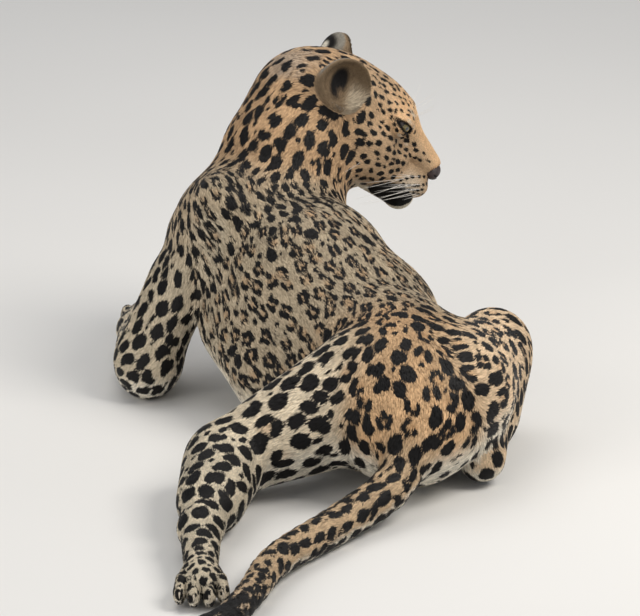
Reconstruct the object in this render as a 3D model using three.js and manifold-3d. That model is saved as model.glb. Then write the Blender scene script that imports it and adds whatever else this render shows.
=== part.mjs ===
// A life-size leopard lying on its belly with its head turned to its right, in millimetres.
// +X is the animal's left, -Y is ahead of it and +Z is up; the origin is on the floor under the belly.
import * as THREE from 'three';
import Module from 'manifold-3d';

const wasm = await Module();
wasm.setup();

const at = (x, y, z) => new THREE.Vector3(x, y, z);
const rad = THREE.MathUtils.degToRad;

// Driving sizes
const GAP = 0.3;
const EYE_RADIUS = 13.5;
const EAR_RADIUS = 33;
const EAR_WALL = 4;
const TAIL_ROOT_RADIUS = 31;
const TAIL_TIP_RADIUS = 20;
const MOUTH_LINE = 2.2;

// Headings, in degrees: a turn to the left, a rise of the front and a roll to the right
function heading(turn, rise, roll) {
  const spin = new THREE.Matrix4().makeRotationZ(rad(turn))
    .multiply(new THREE.Matrix4().makeRotationX(rad(-rise)))
    .multiply(new THREE.Matrix4().makeRotationY(rad(-roll)));
  const turned = (x, y, z) => at(x, y, z).applyMatrix4(spin);
  return { ahead: turned(0, -1, 0), left: turned(1, 0, 0), up: turned(0, 0, 1) };
}
const chest = heading(25, 10, 20);
const abdomen = heading(18, 0, 0);
const pelvis = heading(-5, 14, 6);
const skull = heading(-92, -27, 0);

// Joints and landmarks
const J = {
  rump: at(-96, 168, 92),
  loin: at(-84, 30, 112),
  belly: at(-28, -70, 118),
  ribs: at(25, -160, 152),
  breast: at(100, -265, 160),
  neckRoot: at(84, -270, 200),
  neckMiddle: at(54, -326, 278),
  neckTop: at(26, -368, 333),
  head: at(-51, -378, 288),
  bladeTopLeft: at(140, -200, 256),
  shoulderLeft: at(164, -282, 186),
  elbowLeft: at(228, -196, 42),
  wristLeft: at(246, -372, 32),
  toesLeft: at(236, -470, 24),
  bladeTopRight: at(20, -240, 215),
  shoulderRight: at(38, -350, 140),
  elbowRight: at(-40, -285, 46),
  wristRight: at(15, -455, 30),
  toesRight: at(45, -540, 24),
  hipLeft: at(-38, 120, 108),
  kneeLeft: at(127, 196, 52),
  hockLeft: at(155, 396, 34),
  toesHindLeft: at(152, 560, 24),
  hipRight: at(-146, 120, 108),
  kneeRight: at(-202, -62, 112),
  hockRight: at(-186, 138, 34),
  toesHindRight: at(-198, -36, 24),
};
const TAIL = [
  at(-104, 150, 96), at(-102, 205, 80), at(-76, 265, 44), at(-14, 345, 25),
  at(64, 480, 24), at(96, 600, 24), at(128, 690, 23), at(185, 745, 22),
];

// A tapered muscle from a to b, with its thickness along side multiplied by flat
function muscle(a, b, ra, rb, { flat = 1, side = at(1, 0, 0), blend = 20 } = {}) {
  const axis = b.clone().sub(a);
  const length = axis.length();
  axis.normalize();
  const across = side.clone().addScaledVector(axis, -side.dot(axis)).normalize();
  const taper = (ra - rb) / length;
  const slope = Math.sqrt(Math.max(1 - taper * taper, 0));
  const d = at(0, 0, 0);
  const distance = (p) => {
    d.subVectors(p, a);
    d.addScaledVector(across, d.dot(across) * (1 / flat - 1));
    const y = d.dot(axis);
    const x = Math.sqrt(Math.max(d.lengthSq() - y * y, 0));
    const k = y * slope - x * taper;
    if (k < 0) return Math.hypot(x, y) - ra;
    if (k > slope * length) return Math.hypot(x, y - length) - rb;
    return x * slope + y * taper - ra;
  };
  return { blend, distance };
}

// An ellipsoid with its radii along a frame's ahead, left and up
function egg(centre, frame, [ra, rl, ru], blend = 20) {
  const d = at(0, 0, 0);
  const distance = (p) => {
    d.subVectors(p, centre);
    const x = d.dot(frame.ahead);
    const y = d.dot(frame.left);
    const z = d.dot(frame.up);
    const k0 = Math.hypot(x / ra, y / rl, z / ru);
    const k1 = Math.hypot(x / (ra * ra), y / (rl * rl), z / (ru * ru));
    return k1 < 1e-9 ? -Math.min(ra, rl, ru) : k0 * (k0 - 1) / k1;
  };
  return { blend, distance };
}
const hollow = (flesh) => ({ ...flesh, carved: true });

function smoothMin(a, b, k) {
  const h = Math.max(k - Math.abs(a - b), 0) / k;
  return Math.min(a, b) - h * h * k / 4;
}
function depth(flesh, p) {
  let d = flesh[0].distance(p);
  for (const m of flesh.slice(1)) {
    d = m.carved ? -smoothMin(-d, m.distance(p), m.blend) : smoothMin(d, m.distance(p), m.blend);
  }
  return d;
}

// How far flesh reaches from a point inside it
function reach(flesh, from, way, level) {
  const p = at(0, 0, 0);
  const depthAt = (s) => depth(flesh, p.copy(from).addScaledVector(way, s)) - level;
  let inside = 0;
  let outside = 1;
  for (let d = depthAt(0); d < 0 && outside < 900; d = depthAt(outside)) {
    inside = outside - 1 < 0 ? 0 : outside;
    outside = inside + Math.max(-d * 0.8, 1);
  }
  inside = Math.max(inside - 1, 0);
  for (let n = 0; n < 24; n++) {
    const middle = (inside + outside) / 2;
    if (depthAt(middle) < 0) inside = middle;
    else outside = middle;
  }
  return outside;
}

// Wraps flesh in one closed surface: rings of rays leave a bent axis and fan out to a pole at each end
function wrap({ flesh, axis, rings, sides, up = at(0, 0, 1), fan = 3 }, level = 0) {
  const path = new THREE.CatmullRomCurve3(axis);
  const hit = (centre, way) => centre.clone().addScaledVector(way, reach(flesh, centre, way, level));
  const ring = (centre, tangent, lean) => {
    const v = up.clone().addScaledVector(tangent, -up.dot(tangent)).normalize();
    const u = tangent.clone().cross(v);
    return Array.from({ length: sides }, (_, i) => {
      const turn = i / sides * 2 * Math.PI;
      const way = tangent.clone().multiplyScalar(Math.sin(lean))
        .addScaledVector(u, Math.cos(turn) * Math.cos(lean))
        .addScaledVector(v, Math.sin(turn) * Math.cos(lean));
      return hit(centre, way);
    });
  };
  const ends = [0, 1].map((t) => [path.getPointAt(t), path.getTangentAt(t)]);
  const leans = Array.from({ length: fan }, (_, i) => (i + 1) / (fan + 1) * Math.PI / 2);
  const rows = [
    [hit(ends[0][0], ends[0][1].clone().negate())],
    ...leans.map((lean) => ring(...ends[0], lean - Math.PI / 2)),
    ...Array.from({ length: rings }, (_, i) => {
      const t = i / (rings - 1);
      return ring(path.getPointAt(t), path.getTangentAt(t), 0);
    }),
    ...leans.map((lean) => ring(...ends[1], lean)),
    [hit(...ends[1])],
  ];
  const first = [];
  const points = [];
  for (const row of rows) {
    first.push(points.length);
    points.push(...row);
  }
  const faces = [];
  for (let r = 0; r + 1 < rows.length; r++) {
    for (let i = 0; i < sides; i++) {
      const k = (i + 1) % sides;
      const a = first[r];
      const b = first[r + 1];
      if (rows[r].length === 1) faces.push([a, b + k, b + i]);
      else if (rows[r + 1].length === 1) faces.push([a + i, a + k, b]);
      else faces.push([a + i, a + k, b + k], [a + i, b + k, b + i]);
    }
  }
  return body(points, faces);
}

function body(points, faces) {
  const vertProperties = new Float32Array(points.flatMap((p) => p.toArray()));
  const make = (list) => {
    const triVerts = new Uint32Array(list.flat());
    return new wasm.Manifold(new wasm.Mesh({ numProp: 3, vertProperties, triVerts }));
  };
  const made = make(faces);
  return made.volume() < 0 ? make(faces.map(([a, b, c]) => [a, c, b])) : made;
}

// The half of space that a plane's normal points to, as a large box
function beyond(point, normal, shift = 0) {
  const way = normal.clone().normalize();
  const half = 1500;
  const turn = new THREE.Quaternion().setFromUnitVectors(at(0, 0, 1), way);
  const centre = point.clone().addScaledVector(way, half + shift);
  const place = new THREE.Matrix4().compose(centre, turn, at(1, 1, 1));
  const box = new THREE.BoxGeometry(2 * half, 2 * half, 2 * half).applyMatrix4(place);
  const corner = box.getAttribute('position');
  const points = [];
  const welded = [];
  for (let i = 0; i < corner.count; i++) {
    const p = at(0, 0, 0).fromBufferAttribute(corner, i);
    let k = points.findIndex((q) => q.distanceTo(p) < 1);
    if (k < 0) k = points.push(p) - 1;
    welded.push(k);
  }
  const index = Array.from(box.index.array, (i) => welded[i]);
  const faces = [];
  for (let i = 0; i < index.length; i += 3) faces.push(index.slice(i, i + 3));
  return body(points, faces);
}

// Head flesh, from a point between the jaw joints: ahead, left, up
const inHead = (x, y, z) => J.head.clone()
  .addScaledVector(skull.ahead, x).addScaledVector(skull.left, y).addScaledVector(skull.up, z);
const headFlesh = [
  egg(inHead(-48, 0, 31), skull, [68, 57, 57], 30),
  egg(inHead(-3, 0, 33), skull, [48, 42, 45.5], 22),
  muscle(inHead(22, 0, 31), inHead(81, 0, 3.5), 26.5, 18.5, { flat: 1.15, side: skull.left, blend: 18 }),
  muscle(inHead(-6, 0, -31), inHead(64, 0, -48.5), 32.5, 19.5, { blend: 20 }),
  egg(inHead(68, 0, -50), skull, [19, 20, 19], 8),
];
for (const side of [1, -1]) {
  headFlesh.push(
    egg(inHead(-12, side * 42, -12), skull, [50, 24, 44], 24),
    muscle(inHead(0, side * 46, 12), inHead(42, side * 34, 6), 16, 14, { blend: 16 }),
    muscle(inHead(0, side * 39, -18), inHead(58, side * 21, -22), 25, 18, { blend: 16 }),
    egg(inHead(70, side * 17, -24), skull, [26, 20, 20], 11),
    egg(inHead(10, side * 27, 54), skull, [20, 14, 9.5], 20),
    egg(inHead(23, side * 33, 44), skull, [17, 17, 16], 8),
    hollow(egg(inHead(48, side * 41, 24), skull, [17, 12, 13], 14)),
  );
}

// Trunk and neck flesh
const trunkFlesh = [
  muscle(J.rump, J.loin, 84, 86, { flat: 1.06, side: pelvis.left }),
  egg(at(-92, 116, 112), pelvis, [102, 94, 92], 30),
  muscle(J.loin, J.belly, 85, 106, { blend: 40 }),
  egg(at(-8, -20, 52), abdomen, [130, 92, 56], 40),
  egg(at(30, -158, 149), chest, [152, 102, 124], 40),
  muscle(J.ribs, J.breast, 100, 84, { blend: 40 }),
  muscle(J.bladeTopLeft, J.shoulderLeft, 40, 50, { flat: 0.8, side: chest.left, blend: 40 }),
  muscle(J.bladeTopRight, J.shoulderRight, 24, 46, { flat: 0.8, side: chest.left, blend: 40 }),
  egg(at(90, -258, 203), chest, [86, 90, 82], 50),
  muscle(at(112, -185, 98), at(78, -60, 72), 54, 46, { blend: 40 }),
  egg(at(-70, -98, 140), abdomen, [70, 60, 64], 40),
];
const throat = [
  muscle(J.neckRoot, J.neckMiddle, 92, 81),
  muscle(J.neckMiddle, J.neckTop, 81, 73, { blend: 30 }),
  muscle(J.neckTop, inHead(-46, 0, 10), 73, 50, { blend: 30 }),
];
const seam = {
  head: { point: inHead(-52, 0, 0), normal: skull.ahead.clone().addScaledVector(skull.up, 0.63) },
};

const nodes = [];
const node = (name, slot, shape, before = []) => nodes.push({ name, slot, shape, before });

// Trunk
const torso = {
  flesh: trunkFlesh, up: at(0, 0, 1), rings: 20, sides: 32, fan: 7,
  axis: [at(-98, 136, 94), J.loin, J.belly, at(20, -150, 146), at(66, -222, 170)],
};
const neck = {
  flesh: [...throat, ...headFlesh], up: at(0, 1, 0), rings: 14, sides: 28, fan: 3,
  axis: [J.neckRoot, J.neckMiddle, J.neckTop, inHead(-45, 0, 12)],
};
const head = {
  flesh: [...headFlesh, ...throat.slice(1)], up: skull.up, rings: 24, sides: 32, fan: 5,
  axis: [inHead(-80, 0, 0), inHead(-20, 0, 4), inHead(40, 0, -6), inHead(72, 0, -14)],
};
const keep = (shape, cuts) => (level) => cuts.reduce((made, cut) => made.subtract(cut), wrap(shape, level));
const split = (place, forward) => {
  const normal = forward ? place.normal : place.normal.clone().negate();
  return beyond(place.point, normal, -GAP / 2);
};
node('torso', 'coat', keep(torso, []));
node('neck', 'coat', keep(neck, [split(seam.head, true)]), ['torso']);

// Head, with eye sockets, nostrils and the line of the mouth cut into it
const ball = (centre, radius, sides = 16) => wrap({
  flesh: [egg(centre, skull, [radius, radius, radius])], rings: 2, sides, fan: 5,
  axis: [centre, centre.clone().addScaledVector(skull.left, 0.5)], up: skull.up,
});
const eyes = {};
const nose = {
  flesh: [egg(inHead(89, 0, -1), skull, [12.5, 17, 12])], rings: 2, sides: 16, fan: 4, up: skull.up,
  axis: [inHead(89, 0, -1), inHead(89.5, 0, -1)],
};
const nostrils = [];
const headCuts = [split(seam.head, false), wrap(nose, GAP)];
const strip = (points, r) => {
  const path = new THREE.CatmullRomCurve3(points);
  const flesh = points.slice(1).map((p, i) => muscle(points[i], p, r, r, { blend: 2 }));
  return wrap({ flesh, axis: [path.getPointAt(0.02), ...points.slice(1, -1), path.getPointAt(0.98)],
    rings: 10, sides: 6, fan: 1, up: skull.up });
};
for (const [name, side] of [['left', 1], ['right', -1]]) {
  const centre = inHead(23, side * 33, 45);
  eyes[name] = centre;
  const outward = skull.left.clone().multiplyScalar(side);
  const look = skull.ahead.clone().multiplyScalar(0.62).addScaledVector(outward, 0.78).normalize();
  const slit = skull.ahead.clone().multiplyScalar(0.72).addScaledVector(outward, -0.55)
    .addScaledVector(skull.up, -0.45).normalize();
  const eyeFrame = { ahead: look, left: slit, up: look.clone().cross(slit).normalize() };
  const opening = centre.clone().addScaledVector(look, EYE_RADIUS);
  headCuts.push(ball(centre, EYE_RADIUS + GAP, 16));
  headCuts.push(wrap({
    flesh: [egg(opening, eyeFrame, [12, 11.5, 5.5])], rings: 2, sides: 12, fan: 3, up: eyeFrame.up,
    axis: [opening, opening.clone().addScaledVector(slit, 0.5)],
  }));
  const nostril = inHead(101, side * 7.5, -4);
  nostrils.push(wrap({
    flesh: [egg(nostril, skull, [8, 3.4, 3.2])], rings: 2, sides: 8, fan: 1, up: skull.up,
    axis: [nostril, nostril.clone().addScaledVector(skull.ahead, 0.5)],
  }));
  headCuts.push(strip([
    inHead(98, 0, -36), inHead(95, side * 12, -40), inHead(87, side * 23, -39),
    inHead(76, side * 32, -33), inHead(64, side * 37, -28), inHead(50, side * 40, -29),
    inHead(34, side * 47, -34),
  ], MOUTH_LINE));
}
headCuts.push(strip([inHead(104, 0, -10), inHead(101, 0, -22), inHead(99, 0, -36)], 1.6));
node('head', 'coat', keep(head, headCuts), ['torso']);
node('nose', 'nose', keep(nose, nostrils));
for (const name of ['left', 'right']) node(`eye_${name}`, 'eye', () => ball(eyes[name], EYE_RADIUS, 16));

// Ears: an upright shell around a cup that opens outward and ahead
for (const [name, side] of [['left', 1], ['right', -1]]) {
  const outward = skull.left.clone().multiplyScalar(side);
  const [sideways, forward] = side > 0 ? [0.32, 0.93] : [0.93, 0.25];
  const open = outward.clone().multiplyScalar(sideways).addScaledVector(skull.ahead, forward)
    .addScaledVector(skull.up, 0.2).normalize();
  const across = skull.up.clone().cross(open).normalize();
  const frame = { ahead: open, left: across, up: open.clone().cross(across).normalize() };
  const middle = side > 0 ? inHead(-80, 56, 60) : inHead(-68, -71, 69);
  const ear = {
    flesh: [egg(middle, frame, [22, EAR_RADIUS, EAR_RADIUS])], rings: 2, sides: 18, fan: 4, up: frame.up,
    axis: [middle, middle.clone().addScaledVector(open, 0.5)],
  };
  const inner = middle.clone().addScaledVector(open, 14);
  const cup = {
    flesh: [egg(inner, frame, [26, EAR_RADIUS - EAR_WALL, EAR_RADIUS - EAR_WALL])],
    rings: 2, sides: 18, fan: 3, up: frame.up,
    axis: [inner, inner.clone().addScaledVector(open, 0.5)],
  };
  const front = beyond(middle.clone().addScaledVector(open, 9), open);
  node(`ear_${name}`, 'coat', keep(ear, [front, wrap(cup)]), ['head', 'neck']);
}

// Limbs
const limb = (name, shape, before, ends = []) => node(name, 'coat', keep(shape, ends), before);
const bisector = (before, joint, after) => ({
  point: joint,
  normal: after.clone().sub(joint).normalize().sub(before.clone().sub(joint).normalize()),
});
function paw(ankle, toes, wide) {
  const ahead = toes.clone().sub(ankle).setZ(0).normalize();
  const left = at(0, 0, 1).cross(ahead);
  const frame = { ahead, left, up: at(0, 0, 1) };
  const inPaw = (x, y, z) => toes.clone().addScaledVector(ahead, x).addScaledVector(left, y).add(at(0, 0, z));
  const flesh = [egg(inPaw(-24, 0, -4), frame, [30, wide * 0.9, 20], 12)];
  for (const [x, y] of [[10, -0.76], [20, -0.27], [20, 0.27], [10, 0.76]]) {
    flesh.push(egg(inPaw(x, y * wide, -8), frame, [21, wide * 0.29, 15.5], 6));
  }
  return { flesh, frame, tip: inPaw(20, 0, -6), ball: inPaw(-24, 0, -2) };
}
for (const [name, Side] of [['left', 'Left'], ['right', 'Right']]) {
  const shoulder = J['shoulder' + Side];
  const elbow = J['elbow' + Side];
  const wrist = J['wrist' + Side];
  const blade = J['bladeTop' + Side].clone().lerp(shoulder, 0.4);
  const atElbow = bisector(shoulder, elbow, wrist);
  const atWrist = bisector(elbow, wrist, J['toes' + Side]);
  const upperArm = [
    muscle(shoulder, elbow, 50, 36, { flat: 0.8, side: chest.left }),
    muscle(blade, elbow, 34, 34, { flat: 0.8, side: chest.left, blend: 30 }),
  ];
  if (name === 'left') upperArm.push(muscle(at(198, -258, 134), at(233, -208, 62), 31, 34, { blend: 30 }));
  const arm = [
    ...upperArm,
    muscle(elbow, wrist, 37, 27, { blend: 14 }),
    muscle(elbow.clone().lerp(wrist, 0.12), elbow.clone().lerp(wrist, 0.5), 40, 32, { blend: 24 }),
    muscle(wrist, J['toes' + Side], 27, 22, { blend: 14 }),
  ];
  limb(`upper_arm_${name}`, { flesh: arm, axis: [shoulder, elbow], rings: 8, sides: 16, up: chest.left },
    ['torso', 'neck'], [split(atElbow, true)]);
  limb(`forearm_${name}`, { flesh: arm, axis: [elbow, wrist], rings: 10, sides: 16 },
    ['torso', 'neck'], [split(atElbow, false), split(atWrist, true)]);
  const fore = paw(wrist, J['toes' + Side], 37);
  const forepaw = {
    flesh: [...arm.slice(upperArm.length), ...fore.flesh], rings: 8, sides: 20, fan: 3,
    axis: [wrist, fore.ball, fore.tip],
  };
  limb(`forepaw_${name}`, forepaw, ['torso', 'neck'], [split(atWrist, false)]);

  const hip = J['hip' + Side];
  const knee = J['knee' + Side];
  const hock = J['hock' + Side];
  const atKnee = bisector(hip, knee, hock);
  const atHock = bisector(knee, hock, J['toesHind' + Side]);
  const leg = [
    muscle(hip, knee, 82, 48, { blend: 20 }),
    muscle(knee, hock, 47, 27, { blend: 16 }),
    muscle(knee.clone().lerp(hock, 0.15), knee.clone().lerp(hock, 0.6), 47, 40, { blend: 24 }),
    muscle(hock, J['toesHind' + Side], 27, 20, { blend: 14 }),
  ];
  limb(`thigh_${name}`, { flesh: leg, axis: [hip, knee], rings: 9, sides: 20 }, ['torso'],
    [split(atKnee, true)]);
  limb(`shank_${name}`, { flesh: leg.slice(1), axis: [knee, hock], rings: 9, sides: 16 },
    ['torso', `thigh_${name}`], [split(atKnee, false), split(atHock, true)]);
  const hind = paw(hock, J['toesHind' + Side], 34);
  const hindFoot = {
    flesh: [...leg.slice(1), ...hind.flesh], rings: 11, sides: 20, fan: 3,
    axis: [hock, hind.ball, hind.tip],
  };
  const behind = ['torso', `thigh_${name}`, `shank_${name}`];
  limb(`hind_foot_${name}`, hindFoot, behind, [split(atHock, false)]);
}

// Tail, in three lengths
const tailPath = new THREE.CatmullRomCurve3(TAIL);
const TAIL_STEPS = 24;
const tailRadius = (t) => THREE.MathUtils.lerp(TAIL_ROOT_RADIUS, TAIL_TIP_RADIUS, Math.min(t * 1.3, 1));
const tailFlesh = Array.from({ length: TAIL_STEPS }, (_, i) => {
  const t = i / TAIL_STEPS;
  const next = (i + 1) / TAIL_STEPS;
  const [ra, rb] = [tailRadius(t), tailRadius(next)];
  return muscle(tailPath.getPointAt(t), tailPath.getPointAt(next), ra, rb, { blend: 4 });
});
const TAIL_SEAMS = [0.4, 0.7];
const tailSplit = (t, forward) => {
  const cut = { point: tailPath.getPointAt(t), normal: tailPath.getTangentAt(t) };
  return split(cut, forward);
};
const tailLengths = [['tail_root', 0, 0.45], ['tail_middle', 0.35, 0.75], ['tail_tip', 0.65, 0.985]];
tailLengths.forEach(([name, from, to], i) => {
  const along = (k) => THREE.MathUtils.lerp(from, to, k / 8);
  const axis = Array.from({ length: 9 }, (_, k) => tailPath.getPointAt(along(k)));
  const ends = [];
  if (i > 0) ends.push(tailSplit(TAIL_SEAMS[i - 1], false));
  if (i < 2) ends.push(tailSplit(TAIL_SEAMS[i], true));
  const tail = { flesh: tailFlesh, axis, rings: 14, sides: 14, fan: 2 };
  limb(name, tail, ['torso', 'thigh_left', 'thigh_right'], ends);
});

// What touches is parted by a gap, and everything stands on the floor
const floor = beyond(at(0, 0, 0), at(0, 0, -1));
const grown = {};
function touching(a, b) {
  const [p, q] = [a.boundingBox(), b.boundingBox()];
  return [0, 1, 2].every((i) => p.min[i] < q.max[i] + 1 && q.min[i] < p.max[i] + 1);
}
const SLOTS = {
  coat: new THREE.MeshStandardMaterial({ name: 'coat', color: 0xc9a373, roughness: 0.9 }),
  nose: new THREE.MeshStandardMaterial({ name: 'nose', color: 0x4a3a36, roughness: 0.5 }),
  eye: new THREE.MeshStandardMaterial({ name: 'eye', color: 0x8a7a3c, roughness: 0.15 }),
};
const model = new THREE.Group();
model.name = 'leopard';
for (const { name, slot, shape, before } of nodes) {
  let made = shape(0);
  for (const other of before) {
    grown[other] ??= nodes.find((n) => n.name === other).shape(GAP);
    if (touching(made, grown[other])) made = made.subtract(grown[other]);
  }
  made = made.subtract(floor);
  const pieces = made.decompose().sort((a, b) => b.volume() - a.volume());
  const { vertProperties, triVerts, numProp } = pieces[0].getMesh();
  const points = [];
  for (let i = 0; i < vertProperties.length; i += numProp) {
    points.push(at(vertProperties[i], vertProperties[i + 1], vertProperties[i + 2]));
  }
  const geometry = new THREE.BufferGeometry().setFromPoints(points).setIndex(Array.from(triVerts));
  geometry.computeVertexNormals();
  const mesh = new THREE.Mesh(geometry, SLOTS[slot]);
  mesh.name = name;
  model.add(mesh);
}
export default model;
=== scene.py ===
"""A life-size leopard lying on its belly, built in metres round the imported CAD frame."""

import math
from collections import namedtuple
from itertools import product

import bmesh
import bpy
import numpy as np
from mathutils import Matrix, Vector
from mathutils.kdtree import KDTree


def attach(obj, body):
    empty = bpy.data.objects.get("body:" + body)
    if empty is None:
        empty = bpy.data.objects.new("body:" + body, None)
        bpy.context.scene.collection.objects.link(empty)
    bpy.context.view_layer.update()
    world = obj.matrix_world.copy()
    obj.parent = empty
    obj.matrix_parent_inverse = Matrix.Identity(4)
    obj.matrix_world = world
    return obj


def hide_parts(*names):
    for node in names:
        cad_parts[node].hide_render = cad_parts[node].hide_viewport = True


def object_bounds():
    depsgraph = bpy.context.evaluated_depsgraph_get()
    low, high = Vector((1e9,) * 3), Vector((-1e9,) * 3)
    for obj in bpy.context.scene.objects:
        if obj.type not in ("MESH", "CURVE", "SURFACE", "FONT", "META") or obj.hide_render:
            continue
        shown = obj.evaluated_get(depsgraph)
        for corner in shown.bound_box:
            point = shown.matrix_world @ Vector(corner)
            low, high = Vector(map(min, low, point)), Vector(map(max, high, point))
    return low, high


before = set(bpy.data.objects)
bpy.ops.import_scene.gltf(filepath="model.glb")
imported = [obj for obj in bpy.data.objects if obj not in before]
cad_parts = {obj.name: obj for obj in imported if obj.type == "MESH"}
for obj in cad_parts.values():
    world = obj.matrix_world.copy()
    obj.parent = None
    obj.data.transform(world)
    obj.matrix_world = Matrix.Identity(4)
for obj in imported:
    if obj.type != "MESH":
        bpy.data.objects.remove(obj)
CAD_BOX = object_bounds()

bl_info = {
    "name": "Leopard",
    "version": (1, 0, 0),
    "blender": (4, 5, 0),
    "location": "View3D > Sidebar > Leopard",
    "description": "Skin, coat, eyes, nose, whiskers and claws of a lying leopard",
    "category": "Object",
}

MM = 0.001
FLESH_NODES = [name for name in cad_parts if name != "nose" and not name.startswith("eye_")]

# Body plan, in millimetres


def v(*xyz):
    return np.array(xyz, float)


def unit(a):
    return a / np.maximum(np.linalg.norm(a, axis=-1, keepdims=True), 1e-9)


def dot(a, b):
    """Row by row product of two lists of vectors."""
    return np.einsum("ij,ij->i", a, b)


def from_segment(p, a, b):
    """Distance of points from the line between a and b."""
    t = np.clip((p - a) @ (b - a) / np.dot(b - a, b - a), 0, 1)
    return np.linalg.norm(p - a - t[:, None] * (b - a), axis=1)


def turned(axis, degrees):
    c, s = math.cos(math.radians(degrees)), math.sin(math.radians(degrees))
    i, k = [(1, 2), (2, 0), (0, 1)][axis]
    m = np.eye(3)
    m[i, i] = m[k, k] = c
    m[i, k], m[k, i] = -s, s
    return m


def heading(turn, rise, roll):
    """Rows ahead, left and up after a turn to the left, a rise of the front and a roll to the right."""
    spin = turned(2, turn) @ turned(0, -rise) @ turned(1, -roll)
    return np.array([spin @ v(0, -1, 0), spin @ v(1, 0, 0), spin @ v(0, 0, 1)])


CHEST = heading(25, 10, 20)
ABDOMEN = heading(18, 0, 0)
PELVIS = heading(-5, 14, 6)
SKULL = heading(-92, -27, 0)
J = {
    "rump": v(-96, 168, 92), "loin": v(-84, 30, 112), "belly": v(-28, -70, 118),
    "ribs": v(25, -160, 152), "breast": v(100, -265, 160), "neck_root": v(84, -270, 200),
    "neck_middle": v(54, -326, 278), "neck_top": v(26, -368, 333), "head": v(-51, -378, 288),
    "blade_left": v(140, -200, 256), "shoulder_left": v(164, -282, 186),
    "elbow_left": v(228, -196, 42), "wrist_left": v(246, -372, 32), "toes_left": v(236, -470, 24),
    "blade_right": v(20, -240, 215), "shoulder_right": v(38, -350, 140),
    "elbow_right": v(-40, -285, 46), "wrist_right": v(15, -455, 30), "toes_right": v(45, -540, 24),
    "hip_left": v(-38, 120, 108), "knee_left": v(127, 196, 52), "hock_left": v(155, 396, 34),
    "hind_toes_left": v(152, 560, 24), "hip_right": v(-146, 120, 108),
    "knee_right": v(-202, -62, 112), "hock_right": v(-186, 138, 34),
    "hind_toes_right": v(-198, -36, 24),
}
TAIL = [v(-104, 150, 96), v(-102, 205, 80), v(-76, 265, 44), v(-14, 345, 25),
        v(64, 480, 24), v(96, 600, 24), v(128, 690, 23), v(185, 745, 22)]
EYE_RADIUS = 13.5
FLOOR_SKIN = 2.0
DOWN = v(0, 0, -1)


def in_head(x, y, z):
    return J["head"] + SKULL.T @ v(x, y, z)


# Flesh as distance fields


def boxed(distance, blend, lo, hi, carved=False):
    return {"distance": distance, "blend": blend, "lo": lo, "hi": hi, "carved": carved}


def muscle(a, b, ra, rb, flat=1.0, side=(1, 0, 0), blend=20.0):
    """A tapered muscle from a to b, with its thickness along side multiplied by flat."""
    length = np.linalg.norm(b - a)
    axis = (b - a) / length
    across = unit(v(*side) - axis * np.dot(side, axis))
    taper = (ra - rb) / length
    slope = math.sqrt(max(1 - taper * taper, 0))

    def distance(p):
        d = p - a
        if flat != 1:
            d = d + across * ((d @ across) * (1 / flat - 1))[:, None]
        y = d @ axis
        x = np.sqrt(np.maximum(dot(d, d) - y * y, 0))
        k = y * slope - x * taper
        round_a, round_b = np.hypot(x, y) - ra, np.hypot(x, y - length) - rb
        return np.where(k < 0, round_a, np.where(k > slope * length, round_b, x * slope + y * taper - ra))

    r = max(ra, rb) * max(flat, 1)
    return boxed(distance, blend, np.minimum(a, b) - r, np.maximum(a, b) + r)


def egg(centre, way, radii, blend=20.0):
    """An ellipsoid with its radii along the rows of way: ahead, left and up."""
    radii = v(*radii)

    def distance(p):
        q = (p - centre) @ way.T
        k0 = np.linalg.norm(q / radii, axis=1)
        k1 = np.maximum(np.linalg.norm(q / radii ** 2, axis=1), 1e-9)
        return k0 * (k0 - 1) / k1

    return boxed(distance, blend, centre - radii.max(), centre + radii.max())


def hollow(flesh):
    return {**flesh, "carved": True}


def smooth_min(a, b, k):
    h = np.maximum(k - np.abs(a - b), 0) / k
    return np.minimum(a, b) - h * h * k / 4


FAR = 900.0
NEAR = 45.0


def depth(flesh, p):
    """Distance from the surface of joined muscles, negative inside; vague past NEAR."""
    d = np.full(len(p), FAR)
    for m in flesh:
        reach = NEAR if not m["carved"] else m["blend"] + 2
        near = np.nonzero(np.all((p > m["lo"] - reach) & (p < m["hi"] + reach), axis=1))[0]
        if len(near):
            away, old = m["distance"](p[near]), d[near]
            if m["carved"]:
                d[near] = -smooth_min(-old, away, m["blend"])
            else:
                d[near] = smooth_min(old, away, m["blend"])
    return d


TRUNK = [
    muscle(J["rump"], J["loin"], 84, 86, 1.06, PELVIS[1]),
    egg(v(-92, 116, 112), PELVIS, (102, 94, 92), 30),
    muscle(J["loin"], J["belly"], 85, 106, blend=40),
    egg(v(-8, -20, 52), ABDOMEN, (130, 92, 56), 40),
    egg(v(30, -158, 149), CHEST, (152, 102, 124), 40),
    muscle(J["ribs"], J["breast"], 100, 84, blend=40),
    muscle(J["blade_left"], J["shoulder_left"], 40, 50, 0.8, CHEST[1], 40),
    muscle(J["blade_right"], J["shoulder_right"], 24, 46, 0.8, CHEST[1], 40),
    egg(v(90, -258, 203), CHEST, (86, 90, 82), 50),
    muscle(v(112, -185, 98), v(78, -60, 72), 54, 46, blend=40),
    egg(v(-70, -98, 140), ABDOMEN, (70, 60, 64), 40),
]
THROAT = [
    muscle(J["neck_root"], J["neck_middle"], 92, 81),
    muscle(J["neck_middle"], J["neck_top"], 81, 73, blend=30),
    muscle(J["neck_top"], in_head(-46, 0, 10), 73, 50, blend=30),
]
HEAD = [
    egg(in_head(-48, 0, 31), SKULL, (68, 57, 57), 30),
    egg(in_head(-3, 0, 33), SKULL, (48, 42, 45.5), 22),
    muscle(in_head(22, 0, 31), in_head(81, 0, 3.5), 26.5, 18.5, 1.15, SKULL[1], 18),
    muscle(in_head(-6, 0, -31), in_head(64, 0, -48.5), 32.5, 19.5),
    egg(in_head(68, 0, -50), SKULL, (19, 20, 19), 8),
]
EYES, EARS = {}, {}
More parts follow.
